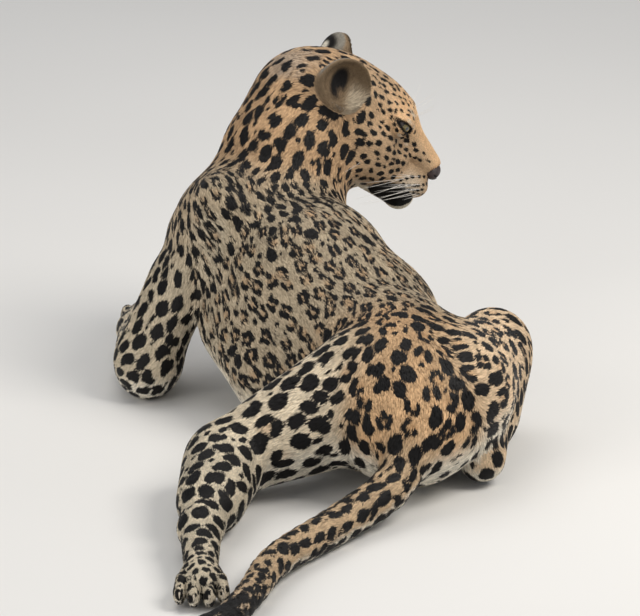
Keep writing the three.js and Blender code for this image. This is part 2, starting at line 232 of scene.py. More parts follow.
for side_name, s in (("left", 1), ("right", -1)):
    HEAD += [
        egg(in_head(-12, s * 42, -12), SKULL, (50, 24, 44), 24),
        muscle(in_head(0, s * 46, 12), in_head(42, s * 34, 6), 16, 14, blend=16),
        muscle(in_head(0, s * 39, -18), in_head(58, s * 21, -22), 25, 18, blend=16),
        egg(in_head(70, s * 17, -24), SKULL, (26, 20, 20), 11),
        egg(in_head(10, s * 27, 54), SKULL, (20, 14, 9.5), 20),
        egg(in_head(23, s * 33, 44), SKULL, (17, 17, 16), 8),
        hollow(egg(in_head(48, s * 41, 24), SKULL, (17, 12, 13), 14)),
    ]
    centre = in_head(23, s * 33, 45)
    outward = SKULL[1] * s
    look = unit(SKULL[0] * 0.62 + outward * 0.78)
    slit = unit(SKULL[0] * 0.72 - outward * 0.55 - SKULL[2] * 0.45)
    slit = unit(slit - look * (slit @ look))
    EYES[side_name] = {"centre": centre, "way": np.array([look, slit, np.cross(look, slit) * -s]), "side": s}

    sideways, forward = (0.32, 0.93) if s > 0 else (0.93, 0.25)
    opening = unit(outward * sideways + SKULL[0] * forward + SKULL[2] * 0.2)
    across = unit(np.cross(SKULL[2], opening))
    middle = in_head(-80, 56, 60) if s > 0 else in_head(-68, -71, 69)
    EARS[side_name] = {"middle": middle, "way": np.array([opening, across, np.cross(opening, across)])}


def strip(points, r, blend=2.0):
    return [muscle(a, b, r, r, blend=blend) for a, b in zip(points, points[1:])]


def between(a, b, ta, tb, t):
    """The point reached at t on the way from a, passed at ta, to b, passed at tb."""
    return (tb - t) / (tb - ta) * a + (t - ta) / (tb - ta) * b


def smooth_path(points, steps):
    """Points evenly spaced along a centripetal curve through the given ones."""
    pts = [2 * points[0] - points[1], *points, 2 * points[-1] - points[-2]]
    out = []
    for p0, p1, p2, p3 in zip(pts, pts[1:], pts[2:], pts[3:]):
        t0, t1 = 0, np.linalg.norm(p1 - p0) ** 0.5
        t2 = t1 + np.linalg.norm(p2 - p1) ** 0.5
        t3 = t2 + np.linalg.norm(p3 - p2) ** 0.5
        for t in np.linspace(t1, t2, 24, endpoint=False):
            middle = between(p1, p2, t1, t2, t)
            before = between(between(p0, p1, t0, t1, t), middle, t0, t2, t)
            after = between(middle, between(p2, p3, t2, t3, t), t1, t3, t)
            out.append(between(before, after, t1, t2, t))
    out = np.array(out + [points[-1]])
    along = np.concatenate([[0], np.cumsum(np.linalg.norm(np.diff(out, axis=0), axis=1))])
    even = np.linspace(0, along[-1], steps + 1)
    return np.stack([np.interp(even, along, out[:, i]) for i in range(3)], axis=1)


def paw(ankle, toes, wide):
    """A paw's palm and four toes, with the rows ahead, left and up that it points along."""
    ahead = unit((toes - ankle) * v(1, 1, 0))
    way = np.array([ahead, np.cross(v(0, 0, 1), ahead), v(0, 0, 1)])
    flesh = [egg(toes + way.T @ v(-24, 0, -4), way, (30, wide * 0.9, 20), 12)]
    tips = []
    for x, y in ((10, -0.76), (20, -0.27), (20, 0.27), (10, 0.76)):
        flesh.append(egg(toes + way.T @ v(x, y * wide, -8), way, (21, wide * 0.29, 15.5), 6))
        flesh.append(egg(toes + way.T @ v(x - 16, y * wide * 0.96, 3), way, (13, wide * 0.22, 9), 8))
        tips.append(toes + way.T @ v(x + 19, y * wide, -6))
    return flesh, way, tips


LIMBS, CLAW_TIPS = {}, []


def add_limb(name, joints, upper, lower, wide, blend):
    """Keeps a limb's flesh above and below its middle joint, ending in a paw of the given width."""
    foot, way, tips = paw(joints[2], joints[3], wide)
    CLAW_TIPS.extend((tip, way) for tip in tips)
    LIMBS[name] = {"upper": upper, "lower": lower + foot, "blend": blend, "joints": joints}


for side_name in ("left", "right"):
    shoulder, elbow = J["shoulder_" + side_name], J["elbow_" + side_name]
    wrist, toes = J["wrist_" + side_name], J["toes_" + side_name]
    blade = J["blade_" + side_name] * 0.6 + shoulder * 0.4
    upper = [muscle(shoulder, elbow, 50, 36, 0.8, CHEST[1]),
             muscle(blade, elbow, 34, 34, 0.8, CHEST[1], 30)]
    if side_name == "left":
        upper.append(muscle(v(198, -258, 134), v(233, -208, 62), 31, 34, blend=30))
    lower = [muscle(elbow, wrist, 37, 27, blend=14),
             muscle(elbow * 0.88 + wrist * 0.12, (elbow + wrist) / 2, 40, 32, blend=24),
             muscle(wrist, toes, 27, 22, blend=14)]
    add_limb("arm_" + side_name, [shoulder, elbow, wrist, toes], upper, lower, 37, 14)
    hip, knee = J["hip_" + side_name], J["knee_" + side_name]
    hock, toes = J["hock_" + side_name], J["hind_toes_" + side_name]
    upper = [muscle(hip, knee, 82, 48)]
    lower = [muscle(knee, hock, 47, 27, blend=16),
             muscle(knee * 0.85 + hock * 0.15, knee * 0.4 + hock * 0.6, 47, 40, blend=24),
             muscle(hock, toes, 27, 20, blend=14)]
    add_limb("leg_" + side_name, [hip, knee, hock, toes], upper, lower, 34, 28)

PAWS = [J[toe + side_name] for side_name in ("left", "right") for toe in ("toes_", "hind_toes_")]
TAIL_STEPS = 24
TAIL_PATH = smooth_path(TAIL, TAIL_STEPS)
TAIL_RADII = 31 + (20 - 31) * np.minimum(np.linspace(0, 1, TAIL_STEPS + 1) * 1.3, 1)
TAIL_FLESH = [muscle(a, b, ra, rb, blend=4) for a, b, ra, rb
              in zip(TAIL_PATH, TAIL_PATH[1:], TAIL_RADII, TAIL_RADII[1:])]

# Coat depth by region: how far the skin lies under the hair's outline
REGIONS = ["trunk", "neck", "head", "ear_left", "ear_right", "arm_left", "fore_left", "arm_right",
           "fore_right", "thigh_left", "shank_left", "thigh_right", "shank_right", "tail"]
LIMB_COLUMNS = {"arm_left": 5, "arm_right": 7, "leg_left": 9, "leg_right": 11}
EAR_COLUMNS = ((3, EARS["left"]), (4, EARS["right"]))
COAT = dict(zip(REGIONS, (5, 5.5, 2.4, 0.6, 0.6, 4.5, 3, 4.5, 3, 5, 3, 5, 3, 5)))
EAR_SHELL = 33.0


def ear_depth(p, ear):
    """An open cup: a thin egg-shaped shell cut off in front."""
    d = np.full(len(p), FAR)
    near = np.nonzero(np.linalg.norm(p - ear["middle"], axis=1) < EAR_SHELL + NEAR)[0]
    if len(near):
        q = p[near]
        shell = egg(ear["middle"], ear["way"], (22, EAR_SHELL, EAR_SHELL))["distance"](q)
        cup = egg(ear["middle"] + ear["way"][0] * 14, ear["way"], (25, 29.5, 29.5))["distance"](q)
        front = (q - ear["middle"]) @ ear["way"][0] - 9
        shell = -smooth_min(-shell, -front, 3.0)
        d[near] = -smooth_min(-shell, cup, 2.5)
    return d


EYE_WALL = 2.4


def region_depths(p):
    """Distance from each region's own skin, one column each."""
    out = np.full((len(p), len(REGIONS)), FAR)
    out[:, 0] = depth(TRUNK, p)
    out[:, 1] = depth(THROAT, p)
    out[:, 2] = depth(HEAD, p)
    for column, ear in EAR_COLUMNS:
        out[:, column] = ear_depth(p, ear)
    for name, column in LIMB_COLUMNS.items():
        out[:, column] = depth(LIMBS[name]["upper"], p)
        out[:, column + 1] = depth(LIMBS[name]["lower"], p)
    out[:, 13] = depth(TAIL_FLESH, p)
    return out + np.array([COAT[name] for name in REGIONS])


MOUTH_LINE = [(98, 0, -36), (95, 12, -40), (87, 23, -39), (76, 32, -33), (64, 37, -28),
              (50, 40, -29), (34, 47, -34)]
MOUTHS = []
for s in (1, -1):
    lips = [in_head(x, s * y, z) for x, y, z in MOUTH_LINE]
    MOUTHS += strip(list(smooth_path(lips, 14)), 1.5)
PHILTRUM = strip([in_head(104, 0, -10), in_head(101, 0, -22), in_head(99, 0, -36)], 1.3)
NOSE = egg(in_head(89, 0, -1), SKULL, (12.5, 17, 12))


def skin_depth(p, parts=None):
    """Distance from the one skin that joins all regions."""
    r = region_depths(p) if parts is None else parts
    head = smooth_min(smooth_min(r[:, 2], r[:, 3], 8), r[:, 4], 8)
    d = smooth_min(r[:, 1], head, 24)
    d = smooth_min(r[:, 0], d, 40)
    for name, column in LIMB_COLUMNS.items():
        d = smooth_min(d, r[:, column], LIMBS[name]["blend"])
    d = smooth_min(d, r[:, 13], 20)
    for column in LIMB_COLUMNS.values():
        d = np.minimum(d, smooth_min(r[:, column], r[:, column + 1], 16))
    face = np.nonzero(np.linalg.norm(p - in_head(50, 0, 0), axis=1) < 100)[0]
    if len(face):
        d[face] = face_depth(p[face], d[face])
    return np.maximum(d, FLOOR_SKIN - p[:, 2])


def lid_gap(e):
    """Distance from the almond between the lids, at places ahead, along and across an eye."""
    return (np.hypot(e[:, 1] / 12.5, e[:, 2] / 4.6 + (e[:, 1] / 12.5) ** 2 * 0.25) - 1) * 4.6


def face_depth(p, d):
    """Adds the lids and cuts the eye openings, the bed of the nose and the line of the mouth."""
    for eye in EYES.values():
        q = (p - eye["centre"]) @ eye["way"].T
        ball = np.linalg.norm(q, axis=1)
        d = smooth_min(d, ball - (EYE_RADIUS + EYE_WALL), 5)
        fold = np.abs(q[:, 2] - 7.5 + q[:, 1] ** 2 / 30) + np.abs(ball - EYE_RADIUS - EYE_WALL) * 0.5
        d = d + 0.9 * np.exp(-(fold / 1.6) ** 2) * (q[:, 0] > 0)
        d = -smooth_min(-d, np.maximum(lid_gap(q), 4 - q[:, 0]), 1.2)
        d = np.maximum(d, EYE_RADIUS + 0.1 - ball)
    d = -smooth_min(-d, NOSE["distance"](p) - 0.2, 1.0)
    for groove in (MOUTHS, PHILTRUM):
        d = -smooth_min(-d, depth(groove, p), 2.0)
    return d


def slope(field, p, step=0.4):
    """Unit normals of a field."""
    ends = np.array([[1, 1, 1], [1, -1, -1], [-1, 1, -1], [-1, -1, 1]], float)
    return unit(sum(e * field(p + e * step)[:, None] for e in ends))


def settle(field, p, rounds=3, most=3.0):
    """Moves points onto the surface of a field."""
    for _ in range(rounds):
        p = p - slope(field, p) * np.clip(field(p), -most, most)[:, None]
    return p


# Wrapping a field in a mesh


def graded(lo, hi, fine_lo, fine_hi, fine, coarse):
    """Grid lines that are close together between fine_lo and fine_hi."""
    lines = [fine_lo]
    while lines[-1] < hi:
        past = max(lines[-1] - fine_hi, 0)
        lines.append(lines[-1] + min(coarse, fine + past * 0.12))
    back = [fine_lo]
    while back[-1] > lo:
        past = max(fine_lo - back[-1], 0)
        back.append(back[-1] - min(coarse, fine + past * 0.12))
    lines = np.array(back[:0:-1] + lines)
    spare = (-(len(lines) - 1)) % 4
    return np.concatenate([lines, lines[-1] + coarse * np.arange(1, spare + 1)])


BATCH = 150000
CORNERS = [(i, j, k) for i in (0, 1) for j in (0, 1) for k in (0, 1)]


def sampled(field, lines):
    """A field's values where lines cross, worked out only near its surface."""
    nx, ny, nz = (len(a) for a in lines)
    rough = [a[::4] for a in lines]
    grid = np.stack(np.meshgrid(*rough, indexing="ij"), axis=-1).reshape(-1, 3)
    rough_d = field(grid).reshape([len(a) for a in rough])
    size = [np.diff(a) for a in rough]
    across = size[0][:, None, None] ** 2 + size[1][None, :, None] ** 2 + size[2][None, None, :] ** 2
    diagonal = np.sqrt(across)
    closest = np.full(diagonal.shape, FAR)
    for i, j, k in CORNERS:
        a, b, c = diagonal.shape
        closest = np.minimum(closest, np.abs(rough_d[i:i + a, j:j + b, k:k + c]))
    wanted = np.zeros((nx, ny, nz), bool)
    full = (closest < diagonal).repeat(4, 0).repeat(4, 1).repeat(4, 2)
    for i, j, k in CORNERS:
        wanted[i:i + nx - 1, j:j + ny - 1, k:k + nz - 1] |= full
    filled = rough_d.repeat(4, 0).repeat(4, 1).repeat(4, 2)[:nx, :ny, :nz] < 0
    d = np.where(filled, -FAR, FAR).astype(np.float32)
    ix, iy, iz = np.nonzero(wanted)
    points = np.stack([lines[0][ix], lines[1][iy], lines[2][iz]], axis=1)
    batches = np.array_split(points, max(len(points) // BATCH, 1))
    d[ix, iy, iz] = np.concatenate([field(part) for part in batches])
    return d


def wrap(field, lines):
    """Corner points and four-sided faces of a field's surface on a grid of lines."""
    d = sampled(field, lines)
    nx, ny, nz = d.shape
    inside = d < 0
    count = np.zeros((nx - 1, ny - 1, nz - 1), np.int8)
    for i, j, k in CORNERS:
        count += inside[i:nx - 1 + i, j:ny - 1 + j, k:nz - 1 + k]
    cx, cy, cz = np.nonzero((count > 0) & (count < 8))
    cell = np.full(count.shape, -1, np.int32)
    cell[cx, cy, cz] = np.arange(len(cx))
    total, hits = np.zeros((len(cx), 3)), np.zeros(len(cx))
    for a in CORNERS:
        for axis in range(3):
            if a[axis]:
                continue
            b = tuple(1 if n == axis else a[n] for n in range(3))
            da, db = d[cx + a[0], cy + a[1], cz + a[2]], d[cx + b[0], cy + b[1], cz + b[2]]
            cross = (da < 0) != (db < 0)
            t = np.where(cross, da / np.where(cross, da - db, 1), 0)
            pa = np.stack([lines[0][cx + a[0]], lines[1][cy + a[1]], lines[2][cz + a[2]]], axis=1)
            pb = np.stack([lines[0][cx + b[0]], lines[1][cy + b[1]], lines[2][cz + b[2]]], axis=1)
            total += np.where(cross[:, None], pa + (pb - pa) * t[:, None], 0)
            hits += cross
    verts = total / hits[:, None]
    faces = []
    for axis in range(3):
        low = tuple(slice(0, -1) if n == axis else slice(1, -1) for n in range(3))
        high = tuple(slice(1, None) if n == axis else slice(1, -1) for n in range(3))
        edge = inside[low] != inside[high]
        e = list(np.nonzero(edge))
        outward = inside[low][tuple(e)]
        e = [e[n] + (0 if n == axis else 1) for n in range(3)]
        u, w = (axis + 1) % 3, (axis + 2) % 3
        ring = []
        for du, dw in ((-1, -1), (0, -1), (0, 0), (-1, 0)):
            at = [e[n] + (du if n == u else dw if n == w else 0) for n in range(3)]
            ring.append(cell[tuple(at)])
        quads = np.stack(ring, axis=1)
        quads[~outward] = quads[~outward][:, ::-1]
        faces.append(quads)
    return verts, np.concatenate(faces)


def add_mesh(name, points, faces):
    """A mesh from millimetre points and an array of faces that have one number of corners."""
    me = bpy.data.meshes.new(name)
    n, k = faces.shape
    me.vertices.add(len(points))
    me.vertices.foreach_set("co", (points * MM).astype(np.float32).ravel())
    me.loops.add(n * k)
    me.loops.foreach_set("vertex_index", faces.astype(np.int32).ravel())
    me.polygons.add(n)
    me.polygons.foreach_set("loop_start", np.arange(0, n * k, k, dtype=np.int32))
    me.polygons.foreach_set("use_smooth", np.ones(n, bool))
    me.update(calc_edges=True)
    ob = bpy.data.objects.new(name, me)
    bpy.context.scene.collection.objects.link(ob)
    return ob


def points_of(me):
    """A mesh's points in millimetres."""
    co = np.empty(len(me.vertices) * 3)
    me.vertices.foreach_get("co", co)
    return co.reshape(-1, 3) / MM


def add_values(ob, name, values):
    """Keeps one number per point for the materials."""
    ob.data.attributes.new(name, "FLOAT", "POINT").data.foreach_set("value", np.array(values, np.float32))


def dress(ob, slot, material, *replaced):
    ob.data.materials.clear()
    ob.data.materials.append(material)
    if replaced:
        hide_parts(*replaced)
    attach(ob, "root")
    return ob


# Lie of the coat and markings

RANDOM_WAVES = np.random.default_rng(5).normal(size=(12, 3))
RANDOM_PHASES = np.random.default_rng(6).uniform(0, 2 * math.pi, 12)


def waves(p, size, start=0):
    """Smooth noise from -1 to 1 with bumps about size across."""
    out = np.zeros(len(p))
    for k in range(start, start + 6):
        way = RANDOM_WAVES[k % 12] * (1 + 0.35 * (k - start))
        out += np.sin(p @ way * (2.2 / size) + RANDOM_PHASES[k % 12])
    return np.clip(out / 3.2, -1, 1)


def smoothstep(lo, hi, x):
    t = np.clip((x - lo) / (hi - lo), 0, 1)
    return t * t * (3 - 2 * t)


def head_place(p):
    """Ahead, left and up of the point between the jaw joints."""
    return (p - J["head"]) @ SKULL.T


BONES = []
for a, b in (("breast", "ribs"), ("ribs", "belly"), ("belly", "loin"), ("loin", "rump")):
    BONES.append((0, J[a], J[b]))
for a, b in (("neck_top", "neck_middle"), ("neck_middle", "neck_root")):
    BONES.append((1, J[a], J[b]))
BONES.append((1, in_head(-30, 0, 20), J["neck_top"]))
for name, column in LIMB_COLUMNS.items():
    joints = LIMBS[name]["joints"]
    BONES.append((column, joints[0], joints[1]))
    BONES.append((column + 1, joints[1], joints[2]))
    BONES.append((column + 1, joints[2], joints[3]))
for a, b in zip(TAIL_PATH[::3], TAIL_PATH[3::3]):
    BONES.append((13, a, b))


def lie(p, n, parts):
    """Which way the hair points along the skin."""
    nearest = parts.min(axis=1, keepdims=True)
    share = np.exp(-np.clip(parts - nearest, 0, 80) / np.where(nearest > 60, 4, 16))
    flow, weights = np.zeros((len(p), 3)), np.zeros(len(p))
    for column, a, b in BONES:
        w = share[:, column] * (30 / (from_segment(p, a, b) + 8)) ** 4
        flow += w[:, None] * unit(b - a)
        weights += w
    flow /= np.maximum(weights, 1e-9)[:, None]
    flow[:, 2] -= 0.35 * share[:, 0]
    flow *= (1 - share[:, 2:5].max(axis=1))[:, None]
    flow += share[:, 2:3] * unit(p - in_head(112, 0, -4))
    for column, ear in EAR_COLUMNS:
        flow += 2 * share[:, column:column + 1] * unit(p - (ear["middle"] - ear["way"][2] * 34))
    swirl = waves(p, 60)[:, None] * 0.22
    flow += np.cross(n, flow) * swirl
    flow -= n * dot(flow, n)[:, None]
    return unit(flow)


WHISKER_ROWS = [
    [(56, 39, -20), (62, 36, -16), (68, 33, -12), (76, 27, -9), (82, 21, -8), (88, 14, -9.5)],
    [(62, 38, -24), (69, 36, -22), (75, 34, -20.5), (80, 31.5, -19), (85, 27, -16.5), (89, 21, -15)],
    [(72, 35, -27.5), (77, 34, -26), (82, 32, -24.5), (87, 29, -22)],
    [(79, 31, -30), (85, 28, -29), (90, 23, -28)],
]
LIP_X = (20, 32, 46, 60, 68, 76, 83, 90)
LIP_TOP = (-42, -34, -29, -24.5, -28, -32, -38, -48)
LIP_LOW = (-50, -60, -64, -64, -62, -57, -50, -46)
SPACING = dict(zip(REGIONS, (24.5, 18, 12.2, 60, 60, 23, 20, 23, 20, 26, 27, 28, 25, 22)))
GROUND = {
    "trunk": {"dun": 1}, "neck": {"russet": 1}, "head": {"russet": 0.85, "cream": 0.15},
    "ear_left": {"russet": 1}, "ear_right": {"russet": 1},
    "arm_left": {"dun": 0.55, "cream": 0.45}, "fore_left": {"dun": 0.4, "cream": 0.6},
    "arm_right": {"dun": 0.55, "cream": 0.45}, "fore_right": {"dun": 0.4, "cream": 0.6},
    "thigh_left": {"cream": 0.85, "tan": 0.15}, "shank_left": {"cream": 0.8, "dun": 0.2},
    "thigh_right": {"tan": 0.6, "cream": 0.4}, "shank_right": {"tan": 0.5, "cream": 0.3, "dun": 0.2},
    "tail": {"dun": 0.6, "tan": 0.4},
}


def closeness(parts, soft):
    """1 for a point's nearest region, less for each one that is farther away."""
    return np.exp(-np.clip(parts - parts.min(axis=1, keepdims=True), 0, 90) / soft)


def shares(parts, soft):
    """How much of a point belongs to each region, together 1."""
    w = closeness(parts, soft)
    return w / w.sum(axis=1, keepdims=True)


def share_of(parts, names, soft=8):
    """How much of a point belongs to the named regions, from 0 to 1."""
    w = closeness(parts, soft)
    cols = [REGIONS.index(name) for name in names]
    return w[:, cols].sum(axis=1) / w.sum(axis=1)


def spot_plan(p, n, parts):
    """Spacing of the marks, their solid size, their stretch and how many are open rings."""
    w = shares(parts, 6)
    q = head_place(p)
    head = 12.2 - 2.8 * smoothstep(20, 50, q[:, 2]) * smoothstep(-40, 20, q[:, 0])
    head -= 3.5 * smoothstep(36, 60, q[:, 0])
    head += 4 * smoothstep(-10, -60, q[:, 0])
    table = np.array([SPACING[name] for name in REGIONS], float)
    spacing = w @ table + w[:, 2] * (head - table[2])
    rump = w[:, 0] * smoothstep(0, 90, p[:, 1])
    withers = w[:, 0] * smoothstep(-90, -200, p[:, 1])
    nape = w[:, 1] * smoothstep(235, 300, p[:, 2])
    spacing += 2.5 * rump - 7 * withers + 6 * nape + 7 * w[:, 9] * smoothstep(-20, 90, p[:, 0])
    ridge = w[:, 0] * smoothstep(0.5, 0.95, n[:, 2])
    spacing -= 3 * ridge * (1 - rump)
    paws = np.zeros(len(p))
    for place in PAWS:
        paws = np.maximum(paws, smoothstep(110, 40, np.linalg.norm(p - place, axis=1)))
    spacing = spacing * (1 - 0.45 * paws)
    solid = 0.45 - 0.02 * nape - 0.1 * w[:, 2] - 0.03 * paws + 0.04 * w[:, 10] + 0.03 * w[:, 13]
    solid -= 0.03 * w[:, 2] * smoothstep(30, 50, q[:, 2])
    stretch = 1.15 + 0.4 * w[:, 1] + 0.6 * w[:, 13] + 0.25 * w[:, 5:9].sum(axis=1) + 0.4 * withers
    stretch += 0.25 * ridge
    rings = w[:, 0] * (0.95 - 0.45 * smoothstep(0, 110, p[:, 1])) + 0.12 * w[:, 9] + 0.5 * w[:, 11]
    rings += 0.1 * w[:, 1] - 0.85 * withers
    rings *= smoothstep(20, 70, p[:, 2])
    return spacing, solid, stretch, rings


def scatter(p, spacing, rng):
    """Indices of points that keep their spacing apart, drawn in a random order or else as they come."""
    order = range(len(p)) if rng is None else rng.permutation(len(p))
    kept, size = np.zeros((9000, 4)), 0
    chosen = []
    for i in order:
        near = kept[:size, :3] - p[i]
        gap = dot(near, near)
        if size == 0 or not np.any(gap < (0.5 * (kept[:size, 3] + spacing[i])) ** 2):
            kept[size] = (*p[i], spacing[i])
            size += 1
            chosen.append(i)
    return np.array(chosen)


def spread(sites, p, n, rounds=5):
    """Moves the chosen points apart until each stands in the middle of its own patch of skin."""
    for _ in range(rounds):
        tree = KDTree(len(sites))
        for k, i in enumerate(sites):
            tree.insert(p[i], k)
        tree.balance()
        owner = np.empty(len(p), int)
        for i, point in enumerate(p):
            owner[i] = tree.find(point)[1]
        facing = dot(n, n[sites[owner]]) > 0.2
        w = facing.astype(float)
        total = np.maximum(np.bincount(owner, w, len(sites)), 1e-9)
        sums = [np.bincount(owner, w * p[:, k], len(sites)) for k in range(3)]
        middle = np.stack(sums, axis=1) / total[:, None]
        off = np.linalg.norm(p - middle[owner], axis=1) + 1e4 * ~facing
        order = np.argsort(off)
        nearest = np.full(len(sites), -1)
        nearest[owner[order[::-1]]] = order[::-1]
        sites = np.where(nearest >= 0, nearest, sites)
    return sites


def arc(u, w, start, half, radius, thick):
    """Distance from a bent stroke that lies on a circle round the middle of its mark."""
    away = np.hypot(u, w)
    turn = np.abs((np.arctan2(w, u) - start + math.pi) % (2 * math.pi) - math.pi)
    past = np.clip(turn - half, 0, math.pi)
    gap = np.hypot(away - radius, 2 * np.sqrt(away * radius) * np.sin(past / 2))
    return gap - thick


def ellipse(u, w, r1, r2):
    k0 = np.hypot(u / r1, w / r2)
    k1 = np.maximum(np.hypot(u / r1 ** 2, w / r2 ** 2), 1e-6)
    return k0 * (k0 - 1) / k1


def rosette(size, stretch, rng):
    """A broken ring of three to five bent strokes, as a distance from its own middle."""
    count = int(rng.integers(4, 6)) if size < 27 else int(rng.integers(1, 3))
    radius = size * rng.uniform(0.29, 0.33)
    whole = 2 * math.pi if count > 2 and rng.random() < 0.5 else 2 * math.pi * rng.uniform(0.72, 0.86)
    start = rng.uniform(0, 2 * math.pi)
    strokes = []
    for k in range(count):
        half = whole / count / 2
        middle = start + whole * (k + 0.5) / count
        thick = size * rng.uniform(0.185, 0.225)
        along = half * radius * rng.uniform(0.9, 1.1) - 0.8
        thick = min(thick, (along + thick) / 2)
        strokes.append((middle, max(along - thick, 0.3) / radius, radius * rng.uniform(0.94, 1.06), thick))
    e = math.sqrt(stretch)

    def shape(u, w):
        d = np.full(len(u), 99.0)
        for stroke in strokes:
            d = smooth_min(d, arc(u / e, w * e, *stroke), 0.9)
        return d

    return shape, radius


def blotch(size, solid, stretch, rng):
    """A solid mark of one or two lobes, as a distance from its own middle."""
    r = size * solid * rng.uniform(0.88, 1.08)
    e = math.sqrt(stretch) * rng.uniform(0.92, 1.15)
    lean = rng.normal(0, 0.3)
    lobes = [(0, 0, lean, r * e, r / e)]
    if rng.random() < 0.45:
        a = rng.uniform(0, 2 * math.pi)
        lobes = [(-math.cos(a) * r * 0.3, -math.sin(a) * r * 0.3, lean, r * e * 0.82, r / e * 0.82),
                 (math.cos(a) * r * 0.55, math.sin(a) * r * 0.55, a + 1.2, r * 0.68, r * 0.5)]

    def shape(u, w):
        d = np.full(len(u), 99.0)
        for bu, bw, turn, r1, r2 in lobes:
            c, sn = math.cos(turn), math.sin(turn)
            lobe = ellipse((u - bu) * c + (w - bw) * sn, (w - bw) * c - (u - bu) * sn, r1, r2)
            d = smooth_min(d, lobe, 2.0)
        return d

    return shape, 0.0


CANDIDATES = 24000
Mark = namedtuple("Mark", "centre normal flow size shape ring")


def plan_marks(p, n, parts, area):
    """Every dark mark: rosettes and blotches first, then small blotches in the gaps between them."""
    rng = np.random.default_rng(11)
    spacing, solid, stretch, rings = spot_plan(p, n, parts)
    off_ears = np.nonzero(parts[:, 3:5].min(axis=1) > parts.min(axis=1) + 1)[0]
    odds = area[off_ears] / spacing[off_ears] ** 2
    odds /= odds.sum()
    pick = rng.choice(off_ears, CANDIDATES, replace=False, p=odds)
    chosen = scatter(p[pick], spacing[pick] * 0.78, rng)
    chosen = pick[spread(chosen, p[pick], n[pick])]
    spacing = spacing * rng.uniform(0.94, 1.06, len(p))
    marks = []
    for i, f in zip(chosen, lie(p[chosen], n[chosen], parts[chosen])):
        if rng.random() < rings[i]:
            shape, ring = rosette(spacing[i], stretch[i], rng)
        else:
            shape, ring = blotch(spacing[i], solid[i], stretch[i], rng)
        marks.append(Mark(p[i], n[i], f, spacing[i], shape, ring))

    pick = rng.choice(off_ears, CANDIDATES, replace=False, p=odds)
    room = read_marks(p[pick], n[pick], marks)[2]
    gap = spacing[pick] * 0.1
    radius = np.minimum(room - gap, spacing[pick] * 0.2)
    smallest = 1.3 + 1.1 * (parts[pick, 2] < parts[pick].min(axis=1) + 4)
    fits = radius > np.maximum(spacing[pick] * 0.12, smallest)
    pick, radius, gap = pick[fits], radius[fits], gap[fits]
    order = np.argsort(-radius * rng.uniform(0.75, 1, len(radius)))
    pick, radius, gap = pick[order], radius[order], gap[order]
    chosen = scatter(p[pick], 2 * radius + gap, None)
    flow = lie(p[pick[chosen]], n[pick[chosen]], parts[pick[chosen]])
    for k, f in zip(chosen, flow):
        i = pick[k]
        shape, ring = blotch(radius[k] / 0.9, 0.95, stretch[i], rng)
        marks.append(Mark(p[i], n[i], f, spacing[i], shape, ring))
    return marks


class Near:
    """Finds the points in a ball quickly, from boxes of one size."""

    def __init__(self, p, size=22.0):
        self.size = size
        key = self.key(*np.floor(p / size).astype(np.int64).T)
        self.order = np.argsort(key, kind="stable")
        names, first = np.unique(key[self.order], return_index=True)
        ends = np.append(first[1:], len(p))
        self.slices = {int(k): (a, b) for k, a, b in zip(names, first, ends)}

    @staticmethod
    def key(x, y, z):
        """One number for a box, for up to 500 boxes to either side of the middle."""
        return (x + 500) * 4000000 + (y + 500) * 2000 + z + 500

    def ball(self, centre, r):
        lo = np.floor((centre - r) / self.size).astype(int)
        hi = np.floor((centre + r) / self.size).astype(int)
        found = []
        for x, y, z in product(*(range(a, b + 1) for a, b in zip(lo, hi))):
            part = self.slices.get(self.key(x, y, z))
            if part:
                found.append(self.order[part[0]:part[1]])
        return np.concatenate(found) if found else np.zeros(0, int)


def read_marks(p, n, marks):
    """Distance to the dark marks, how far inside a ring a point is, and the distance with no channels."""
    q = head_place(p)
    wobble = 1.3 - 0.7 * smoothstep(-60, 0, q[:, 0]) * smoothstep(110, 80, np.abs(q[:, 2]))
    bent = p + np.stack([waves(p, 9, 0), waves(p, 9, 3), waves(p, 9, 6)], axis=1) * wobble[:, None]
    near = Near(p)
    first, second, width = (np.full(len(p), x) for x in (25.0, 25.0, 1.5))
    inner = np.zeros(len(p))
    for mark in marks:
        ids = near.ball(mark.centre, mark.size * 1.2)
        if not len(ids):
            continue
        d = bent[ids] - mark.centre
        ok = (n[ids] @ mark.normal > 0.1) & (np.abs(d @ mark.normal) < mark.size * 0.9)
        ids, d = ids[ok], d[ok]
        u, w = d @ mark.flow, d @ np.cross(mark.normal, mark.flow)
        away = mark.shape(u, w)
        old = first[ids]
        first[ids] = np.minimum(old, away)
        second[ids] = np.minimum(np.maximum(old, away), second[ids])
        width[ids] = np.where(away < old, mark.size * 0.055, width[ids])
        if mark.ring:
            hub = 1 - smoothstep(mark.ring * 0.7, mark.ring * 1.2, np.hypot(u, w))
            inner[ids] = np.maximum(inner[ids], hub)
    return np.maximum(first, width - (second - first) / 2), inner, first


def srgb(r, g, b):
    c = np.array([r, g, b]) / 255
    return tuple(np.where(c <= 0.04045, c / 12.92, ((c + 0.055) / 1.055) ** 2.4))


def folded(q):
    """Head places with the right side laid over the left."""
    return np.stack([q[:, 0], np.abs(q[:, 1]), q[:, 2]], axis=1)


def blot(q, centre, radii, soft):
    """1 inside an egg in folded head places, falling to 0 over soft."""
    k = np.linalg.norm((q - centre) / radii, axis=1)
    return 1 - smoothstep(1 - soft / min(radii), 1 + soft / min(radii), k)


def layered(colour, tone, coats):
    """Lays named colours over one another, each with its own amount per point."""
    for name, amount in coats:
        colour = colour + (np.array(tone[name]) - colour) * amount[:, None]
    return colour


